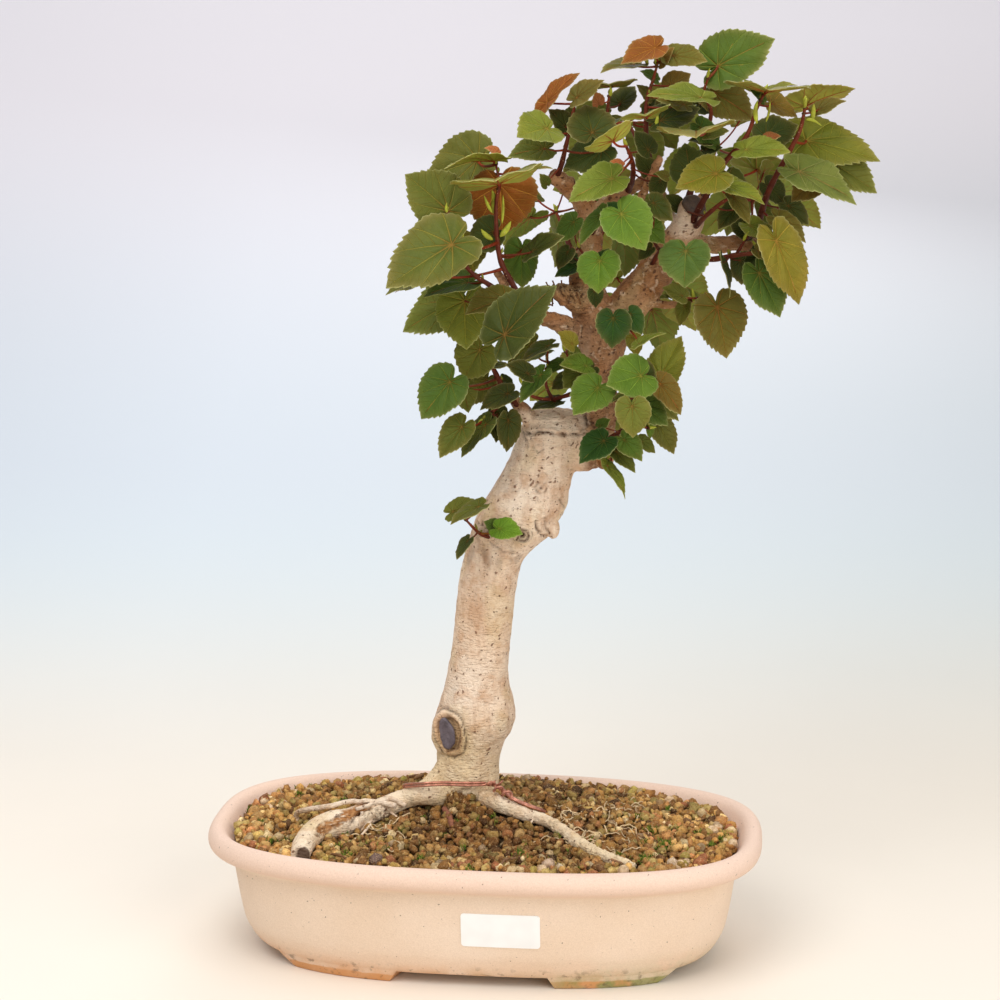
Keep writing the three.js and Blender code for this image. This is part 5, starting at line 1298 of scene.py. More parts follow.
def carveWood(mesh):
    # moves each point along its normal by bark ripple, cracks, rings and pits, and notes marks:
    # brown limbs, darkness (painted shade in cracks, pits and sunken bark, with brown smudges and a dark cut end),
    # stain and bare wood
    p, normal = readPoints(mesh, "co") * 1000 - shiftMm, readPoints(mesh, "normal")
    x, y = onView(p)
    facing = ramp(0.05, 0.35, np.sum(normal * unit(eye - p), axis=1))
    limbness, dark, stain, bare = marks = np.zeros((4, len(p)))

    def mark(kind, share):
        # each mark only grows
        np.maximum(kind, share, out=kind)

    mark(limbness, 0.95 * ramp(430, 310, y) * ramp(505, 540, x))
    mark(limbness, 0.9 * ramp(580, 592, x) * ramp(480, 470, y))
    mark(limbness, 0.9 * ramp(538, 528, x) * ramp(416, 406, y))
    limbness *= 1 - 0.75 * ramp(24, 12, np.hypot((x - 688) * 0.8, y - 221))
    lichen = ramp(530, 560, x) * ramp(800, 812, y)
    base = ramp(700, 780, y)
    move = 0.22 * ripple(p, 14, 1) + 0.16 * ripple(p * [1, 1, 0.5], 5, 2)
    move += 0.10 * ripple(p * [0.6, 0.6, 2.2], 4, 3) * (0.4 + base)  # level wrinkles
    move += limbness * (0.45 * ripple(p, 7, 4) + 0.28 * ripple(p, 3.2, 5))
    for line, half, deep, shade in cracks:
        near, _ = toLine(x + 0.8 * ripple(p, 5, 6), y + 0.8 * ripple(p, 5, 7), rowsOf(line))
        cut = bell(near, 0, half) * facing
        move -= deep * cut - 0.3 * deep * bell(near, 2.6 * half, 1.3 * half) * facing
        broken = ramp(-0.9, 0.2, ripple(p, 6, 24))
        # painted shade in the crack, broken in places
        mark(dark, 0.85 * shade * broken * bell(near, 0, half * 0.95) * facing)
    for middleX, middleY, radius, high in dimples:
        near = np.hypot(x - middleX, y - middleY)
        move += high * bell(near, 0, radius) * facing
        # deeper pits also get painted shade
        if high < -0.4:
            mark(dark, bell(near, 0, radius * 0.85) * facing)
    # the ring knot: two raised rims winding round the hole, with painted shade in the grooves by the rims and in the
    # hole
    near = np.hypot(x - knotAt[0], (y - knotAt[1]) * 1.05)
    wind = np.arctan2(y - knotAt[1], x - knotAt[0])
    move += 1.6 * (bell(near, 7.2, 1.6) + 0.6 * bell(near - 0.5 * np.sin(wind), 3.9, 0.8)) * facing
    mark(dark, 0.9 * bell(near - 0.5 * np.sin(wind + 1), 5.5, 1) * facing)
    mark(dark, 0.6 * bell(near + np.sin(wind), 9.5, 1) * facing * ramp(-0.6, 0.6, ripple(p, 8, 19)))
    mark(dark, ramp(4, 2.6, near) * facing)
    near = np.hypot(x - 541, y - 488)
    mark(dark, 0.6 * bell(near, 5.4, 0.9) * facing * ramp(-0.7, 0.4, ripple(p, 5, 25)))
    # brown smudges below the knot
    smudge = ramp(542, 552, y) * ramp(592, 556, y) * ramp(0.0, 0.8, ripple(p * [1, 1, 0.35], 7, 20))
    mark(dark, 0.3 * smudge)
    # rough bark pad left of it, where old shoots were cut
    pad = mound(x, y, 492, 533, 15, 8) * facing
    move += pad * (0.9 * ripple(p, 2.6, 8) + 0.6 * ripple(p, 5, 9))
    # painted shade in the pad's sunken parts
    mark(dark, pad * ramp(-0.1, 0.6, -ripple(p, 2.6, 8)) * 0.9)
    # the collar round the sealed wound: a rim, and the hollow that the paste fills
    turn = radians(-15)
    ax, ay = x - collarAt[0], y - collarAt[1]
    around = np.hypot((ax * cos(turn) + ay * sin(turn)) / 14.5, (-ax * sin(turn) + ay * cos(turn)) / 23)
    around = around + 0.05 * ripple(p, 9, 17) + 0.02 * ripple(p, 3, 18)
    front = facing * ramp(1.35, 1.0, around)
    move += 1.3 * bell(around, 0.9, 0.13) * front
    move -= 2.4 * ramp(0.78, 0.62, around) * front
    move -= 1.2 * bell(around, 1.12, 0.08) * facing * ramp(1.5, 1.2, around)
    mark(bare, 0.55 * ramp(1.02, 0.84, around) * facing)
    # painted shade in the groove outside the rim and at the step down into the hollow
    mark(dark, 0.8 * bell(around, 1.08, 0.05) * facing)
    mark(dark, 0.7 * bell(around, 0.74, 0.05) * facing)
    # the sawn end of the low stub shows rings
    near = np.hypot(x - stubAt[0], y - stubAt[1])
    move += 0.35 * np.cos(near * 1.9) * ramp(9, 6, near) * facing
    mark(bare, 0.8 * ramp(8, 6, near) * facing)
    # torn end of the broken stub
    torn = ramp(24, 6, np.hypot(x - 566, (y - 293) * 1.2)) * facing
    move += torn * (1.3 * ripple(p, 3, 10) + 0.7 * ripple(p, 1.9, 11))
    # painted shade in the torn end's sunken parts
    mark(dark, torn * ramp(0.1, 0.7, -ripple(p, 3, 10)) * 0.9)
    move += lichen * (0.35 * ripple(p, 3.2, 29) + 0.25 * ripple(p, 1.8, 30))
    # bark lost on the left root
    near, _ = toLine(x, y, [(322, 831), (336, 822), (352, 812), (366, 806)])
    near = near + 1.8 * ripple(p, 7, 12) + 1.1 * ripple(p, 2.6, 26)
    peel = ramp(6.2, 3.6, near) * facing
    fibre = ripple(p * [0.3, 0.5, 1.6], 2.2, 13)
    move -= 0.8 * peel * (1 + 0.5 * fibre)
    mark(bare, peel * ramp(-1.3, -0.4, fibre))
    # a dark line along the edge of the lost bark, and painted shade where the bare wood sinks deepest
    mark(dark, 0.75 * bell(near, 4.9, 0.7) * facing * ramp(-0.5, 0.5, ripple(p, 6, 27)))
    mark(dark, 0.6 * peel * ramp(0.5, 1.1, fibre))
    # loose curls of bark and old hair roots where the left root bends
    rough = mound(x, y, 376, 812, 16, 10)
    move += rough * (0.9 * ripple(p, 3.4, 14) + 0.5 * ripple(p, 2, 15))
    # painted shade in the low parts between the curls
    mark(dark, rough * ramp(0.2, 0.8, -ripple(p, 3.4, 14)) * 0.7)
    # the root's cut end is dark
    near = np.hypot(x - 303, (y - 856) * 0.8) + 1.3 * ripple(p, 5, 28)
    mark(dark, 0.9 * ramp(8, 6.2, near))
    mark(stain, mound(x, y, 450, 752, 26, 24) + 0.7 * base + lichen)
    stain[:] = np.clip(stain + 0.5 * ramp(0.2, 0.9, ripple(p, 30, 16)), 0, 1)
    p = p + normal * move[:, None]
    # the arm's end is cut off along its slope
    over = np.maximum((p - armEnd) @ cutFacing, 0) * (np.linalg.norm(p - armEnd, axis=1) < 14)
    p = p - over[:, None] * cutFacing
    mesh.vertices.foreach_set("co", ((p + shiftMm) / 1000).astype(np.float32).ravel())
    setColour(mesh, "marks", marks.T)
    mesh.update()
    return mesh


def barkMaterial():
    s = Shader("barkPale", 0.8, 0.3)
    marks = s.attribute("marks")
    limb, dark, stain = s.split(marks["Color"])[:3]
    where, level, tall = s.place(), s.place((1, 1, 3.2)), s.place((1, 1, 0.25))
    cloud, blot = s.noise(34, 4, where), s.noise(120, 4, where)
    fine, wrinkle, flake = s.noise(620, 4, where), s.noise(330, 3, level), s.noise(210, 4, where)
    tan, arm, cream, deep = (wood[key] for key in ("tan", "arm", "cream", "deep"))
    body = s.mix(s.spread(cloud, 0.34, 0.66), wood["pale"], cream)
    body = s.mix(s.spread(blot, 0.5, 0.7, 0, 0.6), body, tan)
    body = s.mix(s.spread(s.noise(55, 5, tall, 0.7), 0.5, 0.66, 0, 0.5), body, s.mix(0.4, tan, arm))
    body = s.shade(s.spread(fine, 0.55, 0.75, 0, 0.35), body, (0.62, 0.52, 0.45))
    armBody = s.mix(s.spread(blot, 0.36, 0.7), arm, s.mix(0.25, tan, arm))
    armBody = s.mix(s.spread(s.noise(70, 4, where), 0.52, 0.66, 0, 0.8), armBody, s.mix(0.5, arm, deep))
    armBody = s.mix(s.spread(flake, 0.58, 0.66, 0, 0.6), armBody, cream)
    body = s.mix(limb, body, armBody)
    body = s.mix(s.times(stain, s.spread(cloud, 0.3, 0.7, 0.15, 0.6)), body, wood["olive"])
    body = s.mix(s.times(s.spread(wrinkle, 0.55, 0.75), 0.35), body, tan)
    body = s.mix(marks["Alpha"], body, s.mix(s.spread(s.noise(420, 3, tall), 0.35, 0.65), wood["bare"], arm))
    # pores: dark dots of three sizes, scattered by the random value of their cells, denser high up
    dots, above = None, s.split(where)[2]
    for scale, size, some in ((170, 0.17, s.spread(above, 0.2, 0.27, 0.74, 0.2)),
                              (300, 0.22, s.spread(above, 0.2, 0.27, 0.6, 0.25)), (700, 0.2, 0.6)):
        cell = s.cells(scale, s.mix(0.006, where, s.noise(180, 2, where)))
        dot = s.spread(cell["Distance"], size * 0.65, size, 1, 0)
        dots = s.most(dots, s.times(dot, s.math("GREATER_THAN", s.split(cell["Color"])[0], some)))
    body = s.mix(s.times(dots, 0.78), body, s.mix(limb, wood["pore"], deep))
    # the darkness mark: painted shade in cracks, pits and sunken bark, with brown smudges and a dark cut end
    body = s.mix(dark, body, deep)
    normal = s.bump(s.times(s.spread(flake, 0.5, 0.66), limb), 0.6, 0.002)
    for height, strength, distance in ((blot, 0.7, 0.0026), (fine, 0.9, 0.001), (wrinkle, 1.0, 0.0016),
                                       (dots, 0.7, 0.0006)):
        normal = s.bump(height, strength, distance, normal)
    return s.finish(body, normal)


trunkMesh = carveWood(joinSkins(woodHeap().mesh("woodSkins")))
print("trunk skin:", len(trunkMesh.polygons), "faces")
bark = barkMaterial()
addPiece("trunkWood", trunkMesh, bark, "bark", "trunk")

trimHeap = Heap()
woodDraw = np.random.default_rng(37)
for root in thinRoots.values():
    line = viewLine(root, seenAt, 1.2)
    line[:, :3] += 0.25 * np.stack([ripple(line[:, :3], 6, k) for k in (21, 22, 23)], -1)
    trimHeap.add(*tube(line[:, :3], line[:, 3], 10), marks=[0, 0.05, 0.3, 0])
# splinters of the broken stub and dry threads of bark
for i in range(26):
    x, y, near = woodDraw.uniform(549, 584), woodDraw.uniform(287, 300), woodDraw.uniform(8, 19)
    start = seen(x, y + 6, near - 2)
    tip = start + np.array([woodDraw.normal(-2.2, 1.6), woodDraw.normal(-0.8, 1.6), woodDraw.uniform(3.5, 8)])
    line = smoothLine([start, (start + tip) / 2 + woodDraw.normal(size=3) * 0.5, tip], 1.5)
    trimHeap.add(*tube(line, 0.42, 5), marks=[1, woodDraw.uniform(0.2, 0.7), 0, 0.5])
addPiece("barkTrim", trimHeap, bark, "bark")


def pasteMaterial(name, tone, edge):
    s = Shader(name, 0.5, 0.3)
    where = s.place()
    cloud, fine = s.noise(160, 4, where), s.noise(900, 3, where)
    skin = s.cells(420, where, "DISTANCE_TO_EDGE")["Distance"]
    body = s.mix(s.spread(cloud, 0.35, 0.65), tone, edge)
    body = s.mix(s.spread(skin, 0, 0.05, 0.35, 0), body, (0.02, 0.018, 0.016))
    normal = s.bump(fine, 0.4, 0.0004, s.bump(cloud, 0.6, 0.001))
    return s.finish(body, normal, s.spread(fine, 0.3, 0.7, 0.42, 0.62))


def sealSkin(centre, facing, half, lean, seed):
    # a cushion of paste: an oval whose rim is uneven and whose middle is slightly dished
    across = unit(np.cross(upright if abs(facing[2]) < 0.8 else viewLevel, facing))
    rise = np.cross(facing, across)
    turn, lean = turns(48), radians(lean)
    share = np.array([0.2, 0.4, 0.6, 0.78, 0.9, 0.97, 1.0])
    high = 1.5 * np.array([0.72, 0.75, 0.85, 1.0, 0.95, 0.7, 0.25])  # mm
    uneven = 1 + 0.03 * np.sin(3 * turn + seed) + 0.02 * np.sin(7 * turn)
    ex, ey = half[0] * np.cos(turn) * uneven, half[1] * np.sin(turn) * uneven
    fx, fy = ex * cos(lean) - ey * sin(lean), ex * sin(lean) + ey * cos(lean)
    oval = fx[:, None] * across + fy[:, None] * rise
    top = centre + (share[:, None, None] * oval[None] + high[:, None, None] * facing)
    wave = 0.12 * ripple(top.reshape(-1, 3), 4, seed).reshape(top.shape[:2])
    top = top + wave[..., None] * facing * (1 - share ** 4)[:, None, None]
    return ringSkin(join([top, (centre + oval)[None]]), centre + facing * high[0], centre, True)


woundTurn = radians(-24)
woundFacing = -viewLevel * cos(woundTurn) + viewRight * sin(woundTurn)
for name, centre, facing, half, lean, seed, material, node in (
        ("woundSeal", seen(446, 733, 15.4), woundFacing, (5.3, 9.1), 15, 2,
         pasteMaterial("greyPaste", srgb(112, 101, 106), srgb(84, 74, 78)), "lower_wound_seal"),
        ("cutSeal", armEnd - cutFacing * 0.3, cutFacing, (cutRadius, cutRadius / cos(cutSlope)), 0, 5,
         pasteMaterial("brownPaste", srgb(98, 74, 56), srgb(60, 43, 33)), "top_cut_seal")):
    sealMesh = meshFrom(name, *sealSkin(centre, facing, half, lean, seed))
    addPiece(name, turnOut(sealMesh), material, "wound_paste", node)
print("trunk made")


# Tie wire, label and drain nets
def wireMaterial():
    s = Shader("copperWire", 0.34, metallic=0.6)
    cloud = s.noise(420, 3)
    colour = s.mix(s.spread(cloud, 0.35, 0.65), srgb(206, 140, 114), srgb(150, 94, 76))
    return s.finish(colour, s.bump(cloud, 0.2, 0.0003), s.spread(cloud, 0.3, 0.7, 0.24, 0.4))


def coil(centre, side, other, turn, radius):
    # places on a line wound round a middle line
    return centre + radius * (side * np.cos(turn) + other * np.sin(turn))


endX, endY, _ = wireOver[-1]
wirePath = join([
    [[endX - 4, endY, 5.8], *([*wireLeft, z] for z in (5.8, 20, 66)), [-42, 14, 80]],
    wireOver[:-1], [[endX, endY, z] for z in (60, 30, 7.8)]])
wireLine = smoothLine(wirePath, 0.8)
wireAlong = unit(np.gradient(wireLine, axis=0))
wireSide = unit(np.cross(wireAlong, unit(eye - wireLine)))
wireOut = np.cross(wireSide, wireAlong)
knot = seenAt(497, 786, 88)
twist = np.cumsum(ramp(9, 4, np.linalg.norm(wireLine - knot, axis=1)))[:, None] * 0.95
wireHeap = Heap()
for half in (0, pi):
    wireHeap.add(*tube(coil(wireLine, wireSide, wireOut, twist + half, 0.7), 0.68, 10))
# two loops of the twist wound round the rest
t = np.linspace(0, 1, 70)[:, None]
loopFrom, loopTo = seenAt([489, 511], [784, 797], [89.4, 85.6])
loopAlong = unit(loopTo - loopFrom)
loopSide = unit(np.cross(loopAlong, upright))
loops = coil(loopFrom + (loopTo - loopFrom) * t, loopSide, np.cross(loopSide, loopAlong), t * 17, 2.0)
wireHeap.add(*tube(loops, 0.66, 9))
# the cut ends of the twist
for side in (-1, 1):
    end = smoothLine([knot, knot + [1.2 * side, -1.4, 1.6], knot + [2.2 * side + 1.2, -1.0, 3.4]], 0.5)
    wireHeap.add(*tube(end, 0.55, 9))
addPiece("tieWire", wireHeap, wireMaterial(), "copper_wire", "tie_wire")


def labelMaterial():
    s = Shader("whitePaper", 0.42, 0.45)
    colour = s.mix(s.spread(s.noise(60, 2), 0.3, 0.7), srgb(246, 245, 242), srgb(236, 235, 232))
    return s.finish(colour, s.bump(s.noise(900, 3), 0.08, 0.0002))


def labelSkin(x0, x1, z0, z1, inside, outside):
    # two sheets on the pot's front wall with rounded corners, joined along their rims
    corner = 1.7
    steps = corner * np.array([0, 0.06, 0.16, 0.3, 0.5, 0.75, 1])
    levels = join([z0 + steps, np.linspace(z0, z1, 12)[2:-2], z1 - steps[::-1]])
    x, z = np.meshgrid(np.linspace(x0, x1, 41), levels)
    nearEnd = np.clip(corner - np.minimum(z - z0, z1 - z), 0, corner)
    cut = corner - np.sqrt(corner ** 2 - nearEnd ** 2)
    x = np.clip(x, x0 + cut, x1 - cut)
    inset, height, sideInset = potWall[4:16].T
    halfX = pot["length"] / 2 - np.interp(z, height, inset)
    halfY = pot["width"] / 2 - np.interp(z, height, sideInset)
    y = -halfY * (1 - (np.abs(x) / halfX) ** pot["roundness"]) ** (1 / pot["roundness"])
    sheets = [np.stack([x, y - off, z], -1).reshape(-1, 3) for off in (outside, inside)]
    n, m = x.shape
    front = gridFaces(n, m)
    edge = join([np.arange(m), np.arange(1, n) * m + m - 1, (n - 1) * m + np.arange(m - 2, -1, -1),
                 np.arange(n - 2, 0, -1) * m])
    after = np.roll(edge, -1)
    rim = np.stack([edge, edge + n * m, after + n * m, after], -1)
    return join(sheets), join([front, front[:, ::-1] + n * m, rim])


labelMesh = turnOut(meshFrom("whiteLabel", *labelSkin(-4, 37, 26, 45, 0.05, 0.6)))
labelMesh.set_sharp_from_angle(angle=radians(50))
addPiece("whiteLabel", labelMesh, labelMaterial(), "label_paper", "paper_label")

nets = Shader("netPlastic", 0.5)
netGrain = nets.noise(500, 3)
netMaterial = nets.finish(nets.mix(nets.spread(netGrain, 0.3, 0.7), (0.012, 0.012, 0.013), (0.03, 0.03, 0.032)),
                          nets.bump(netGrain, 0.3, 0.0003))
for key in ("drain_net_left", "drain_net_right"):
    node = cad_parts[key]
    if not node.data.materials:
        node.data.materials.append(netMaterial)
    for i in range(len(node.data.materials)):
        node.data.materials[i] = netMaterial
print("wire, label and nets made")


# Soil
soil = {
    "edge": 12.6,  # mm from the rim to the soil's edge, one less at the long sides
    "spacing": 4.7,
    "grain": (1.95, 2.95),  # half size
    "seed": 2211,
}


def soilHeight(x, y):
    return (65 + 13.5 * mound(x, y, -6, 22, 78, 46)
            + 1.1 * np.sin(0.91 * x + 3 * np.sin(0.37 * y)) * np.cos(1.07 * y - 0.23 * x))


def onHeap(plan, lift):
    # places of a plan, so many mm over the heap
    return join([plan, (soilHeight(plan[..., 0], plan[..., 1]) + lift)[..., None]], -1)


def soilBody():
    # the heap from its middle to the rim, then down inside the pot's wall
    turn = evenTurns(160)
    share = np.linspace(0.02, 1, 46)
    top = onHeap(ovalPlan(turn, soil["edge"] + 1.2, soil["edge"] + 0.2)[None] * share[:, None, None], -2.4)
    top[..., 2] -= 1.5 * ramp(0.95, 1.0, share)[:, None]
    under = potWall[-9:-1] + [0.6, 0.2, 0.6]
    low = np.stack([np.column_stack([ovalPlan(turn, end, side), np.full(len(turn), z)]) for end, z, side in under])
    return ringSkin(join([top, low]), [0, 0, soilHeight(0.0, 0.0) - 2.4], [0, 0, under[-1, 1]], True)


def grainShape():
    # a cube with each side cut in four, pulled toward a ball: 26 points, 24 quads
    grid = [(x, y, z) for x in (-1, 0, 1) for y in (-1, 0, 1) for z in (-1, 0, 1) if x or y or z]
    points = np.array(grid, float)
    index = {place: i for i, place in enumerate(grid)}
    quads = []
    for axis, side, u, v in np.ndindex(3, 2, 2, 2):
        ring = [index[tuple(np.roll([2 * side - 1, u + du - 1, v + dv - 1], axis))]
                for du, dv in ((0, 0), (1, 0), (1, 1), (0, 1))]
        quads.append(ring if side else ring[::-1])
    return unit(points) * 0.62 + points * 0.42 / np.sqrt(np.abs(points).sum(1, keepdims=True)), np.array(quads)


def turned(draw, count):
    # random turns: an even quaternion for each
    w, x, y, z = unit(draw.normal(size=(count, 4))).T
    return np.stack([
        np.stack([1 - 2 * (y * y + z * z), 2 * (x * y - z * w), 2 * (x * z + y * w)], -1),
        np.stack([2 * (x * y + z * w), 1 - 2 * (x * x + z * z), 2 * (y * z - x * w)], -1),
        np.stack([2 * (x * z - y * w), 2 * (y * z + x * w), 1 - 2 * (x * x + y * y)], -1)], 1)


grainPoints, grainQuads = grainShape()


def scatterGrains(heap, centres, half, tint, jag=0.2, squash=(0.7, 1.22)):
    # one rough grain at each centre, all in one set of arrays
    count, size = len(centres), len(grainPoints)
    scale = np.asarray(half).reshape(-1, 1, 1) * soilDraw.uniform(*squash, (count, 1, 3))
    shape = grainPoints[None] * (1 + soilDraw.normal(0, jag, (count, size, 1))) * scale
    shape = np.einsum("nij,npj->npi", turned(soilDraw, count), shape) + centres[:, None]
    quads = (grainQuads[None] + np.arange(count)[:, None, None] * size).reshape(-1, 4)
    heap.add(shape.reshape(-1, 3), quads, tint=np.repeat(tint, size, axis=0))


def grainMaterial():
    s = Shader("firedClay", 0.9, 0.2)
    tint = s.attribute("tint")["Color"]
    where = s.place()
    fine, rough = s.noise(1400, 3, where), s.noise(480, 4, where)
    colour = s.shade(s.spread(rough, 0.38, 0.7), tint, (0.55, 0.46, 0.38))
    colour = s.mix(s.times(s.dots(1300, 0.28, 0.6, 2, where), 0.6), colour, srgb(58, 36, 20))
    # pale flecks from fine noise: painted highlights scattered over the grains
    colour = s.mix(s.spread(fine, 0.54, 0.68, 0, 0.55), colour, srgb(208, 178, 128))
    return s.finish(colour, s.bump(fine, 0.9, 0.0006, s.bump(rough, 1, 0.0013)))


soilDraw = np.random.default_rng(soil["seed"])
grainTint = np.array([srgb(*c) for c in rowsOf("""
    176 134 74, 162 118 62, 192 152 92, 144 102 56, 182 152 86, 118 82 46, 168 120 70, 206 176 118, 158 136 78,
    98 68 42, 178 124 78, 224 200 152""")])
grainMix = np.array([16, 15, 13, 12, 9, 8, 9, 7, 7, 5, 5, 4])  # how often each tint is picked
rootDots = join([viewLine(root, seenAt, 1.5) for root in roots.values()]
                + [np.column_stack([trunkMiddle(trunkFine[:3]), [15, 15, 15]])])


def clearOfRoots(points, spare):
    gaps = np.linalg.norm(points[:, None] - rootDots[None, :, :3], axis=2) - rootDots[None, :, 3]
    return gaps.min(1) > spare


def insideRim(points, inset):
    # whether places lie within the oval, more than an inset from its edge
    power = pot["roundness"]
    return ((np.abs(points[:, 0]) / (pot["length"] / 2 - inset)) ** power
            + (np.abs(points[:, 1]) / (pot["width"] / 2 - inset + 1)) ** power) < 1


layers, sizes = [], []
for lift, share, spare, step, size in ((-1.6, 1.0, 1.0, soil["spacing"], 1.0), (0.6, 0.6, 1.6, soil["spacing"], 1.0),
                                       (1.5, 0.42, 1.0, 3.6, 0.55)):
    gx, gy = np.meshgrid(np.arange(-150, 151, step), np.arange(-92, 93, step * 0.87))
    gx = gx + (np.arange(gx.shape[0]) % 2)[:, None] * step / 2
    spots = np.stack([gx.ravel(), gy.ravel()], -1) + soilDraw.normal(0, step * 0.24, (gx.size, 2))
    spots = spots[soilDraw.random(len(spots)) < share]
    at = onHeap(spots, lift)
    at[:, 2] += soilDraw.normal(0, 0.5, len(spots))
    at = at[insideRim(at, soil["edge"] + 1.9)]
    at[:, 2] -= 1.2 * (~insideRim(at, soil["edge"] + 5))
    layers.append(at[clearOfRoots(at, spare)])
    sizes.append(np.full(len(layers[-1]), size))
# a bank of grains fills the fork between the two roots
layers.append(seen(soilDraw.uniform(447, 474, 60), soilDraw.uniform(796.5, 810, 60), soilDraw.uniform(17.5, 20.5, 60)))
sizes.append(np.full(60, 0.9))
grainSpots, sizes = join(layers), join(sizes)
pick = soilDraw.choice(len(grainTint), len(grainSpots), p=grainMix / grainMix.sum())
tint = grainTint[pick] * soilDraw.uniform(0.62, 1.35, (len(pick), 1))
# paler and drier near the rim, darker and more orange in front of the trunk
dry = ramp(45, 105, np.abs(grainSpots[:, 0])) + 0.5 * ~insideRim(grainSpots, soil["edge"] + 14)
frontDark = mound(grainSpots[:, 0], grainSpots[:, 1], 12, -18, 48, 30)
tint = tint * (1.04 + 0.42 * dry - 0.36 * frontDark)[:, None] * (1 + frontDark[:, None] * [0.12, -0.04, -0.12])
half = soilDraw.uniform(*soil["grain"], len(grainSpots)) * sizes * soilDraw.choice([0.8, 1.0, 1.12], len(sizes))
soilGrains = grainMaterial()
# the soil body under the grains is dark brown: painted shade for the gaps between them
bodyMesh = meshFrom("soilBody", *soilBody(), {"tint": srgb(58, 40, 22)})
addPiece("soilBody", turnOut(bodyMesh), soilGrains, "clay_grains", "soil")
for i, part in enumerate(np.array_split(np.arange(len(grainSpots)), 2)):
    heap = Heap()
    scatterGrains(heap, grainSpots[part], half[part], tint[part])
    addPiece("grains%d" % (i + 1), heap, soilGrains, "clay_grains")
print("grains:", len(grainSpots))

# larger stones: x, y in the front view, half size in mm, colour
stoneRows = np.array(rowsOf("""
    548 867 3.6 206 176 150, 560 872 3.0 212 190 156, 590 868 3.3 190 168 132, 672 866 3.4 222 196 166,
    376 862 4.0 124 100 92, 548 792 3.8 92 64 44, 392 846 2.8 176 150 118, 440 866 2.8 156 132 104,
    482 850 2.6 168 140 110, 640 840 2.8 160 130 96, 700 850 3.0 172 148 112, 612 826 2.6 150 120 90,
    660 806 2.7 164 132 92, 280 830 2.8 150 118 80, 262 842 2.8 166 138 100, 344 788 2.6 140 108 72,
    530 785 2.6 130 96 62, 404 783 3.2 176 160 80, 590 800 2.6 120 88 56"""))


def onSoil(x, y, lift=0.0):
    # where the way through x, y meets the heap of grains, found in a dozen steps
    z = np.full(np.shape(x), 66.0)
    for _ in range(12):
        at = seenAt(x, y, z)
        z = z + 0.7 * (soilHeight(at[..., 0], at[..., 1]) - z)
    return seenAt(x, y, z) + upright * lift


x, y, half = stoneRows.T[:3]
stoneHeap = Heap()
scatterGrains(stoneHeap, onSoil(x, y, 0.9), half, [srgb(*c) for c in stoneRows[:, 3:]], 0.09, (0.8, 1.15))
# pale and yellowish larger grains gather along the rim
count = 150
turn = np.interp(soilDraw.random(count), np.linspace(0, 1, 64, endpoint=False), evenTurns(64))
inward = soil["edge"] + 2.6 + soilDraw.uniform(0, 17, count) * soilDraw.uniform(0.1, 1, count)
rimAt = onHeap(ovalPlan(turn, inward), 0.7)
rimTints = np.array([srgb(*c) for c in rowsOf("""
    214 184 112, 198 174 92, 226 196 146, 202 156 96, 186 150 80, 236 204 164, 180 114 76""")])
rimTint = rimTints[soilDraw.integers(0, 7, count)] * soilDraw.uniform(0.75, 1.15, (count, 1))
keep = clearOfRoots(rimAt, 2.2)
scatterGrains(stoneHeap, rimAt[keep], soilDraw.uniform(2.3, 3.4, keep.sum()), rimTint[keep], 0.13, (0.75, 1.15))
addPiece("stones", stoneHeap, soilGrains, "clay_grains")


def litterMaterial():
    s = Shader("litter", 0.8, 0.25)
    streak = s.noise(520, 3)
    colour = s.shade(s.spread(streak, 0.35, 0.7), s.attribute("tint")["Color"], (0.6, 0.55, 0.5))
    return s.finish(colour, s.bump(streak, 0.4, 0.0003))


litter = Heap()
# sticks, a twig and a loose flake: ends in the front view, lift and radius in mm
for x0, y0, x1, y1, lift, thick, colour in (
        (444, 813, 452, 831, 2.6, 1.7, (150, 96, 72)), (410, 784, 424, 787, 4.4, 0.9, (132, 92, 56)),
        (415, 788, 422, 784, 5.6, 1.2, (142, 104, 66)), (600, 858, 622, 868, 2.4, 0.8, (150, 110, 76)),
        (500, 870, 516, 862, 2.2, 0.7, (140, 104, 72)), (690, 828, 706, 822, 2.4, 0.7, (146, 108, 70)),
        (330, 858, 346, 863, 2.2, 0.8, (132, 94, 60))):
    ends = onSoil([x0, (x0 + x1) / 2, x1], [y0, (y0 + y1) / 2, y1], lift)
    ends[1] += soilDraw.normal(0, 0.8, 3)
    line = smoothLine(ends, 1)
    girth = thick * (1 + 0.22 * ripple(line, 2.5, 31)) * np.sin(np.linspace(0.5, pi - 0.5, len(line))) ** 0.4
    litter.add(*tube(line, girth, 8), tint=srgb(*colour))
# white feeding roots that curl over the grains
for i in range(52):
    left, right, high, low = (560, 640, 808, 858) if i < 42 else (352, 400, 822, 846)
    at = onSoil(soilDraw.uniform(left, right), soilDraw.uniform(high, low))
    heading, bend = soilDraw.uniform(0, 6.28), soilDraw.normal(0, 0.35)
    path = [at[:2]]
    for k in range(10):
        heading += bend + soilDraw.normal(0, 0.35)
        path.append(path[-1] + np.array([cos(heading), sin(heading)]) * 2.1)
    path = onHeap(np.array(path), 2.1)
    path[:, 2] += np.sin(np.arange(11) * 0.9 + i)
    litter.add(*tube(smoothLine(path, 0.9), soilDraw.uniform(0.2, 0.42), 5),
               tint=srgb(232, 204, 160) * soilDraw.uniform(0.75, 1.05))
addPiece("litter", litter, litterMaterial(), "clay_grains")


def mossMaterial():
    s = Shader("moss", 0.9, 0.2)
    return s.finish(s.shade(s.spread(s.noise(800, 2), 0.35, 0.7), s.attribute("tint")["Color"], (0.55, 0.65, 0.5)))


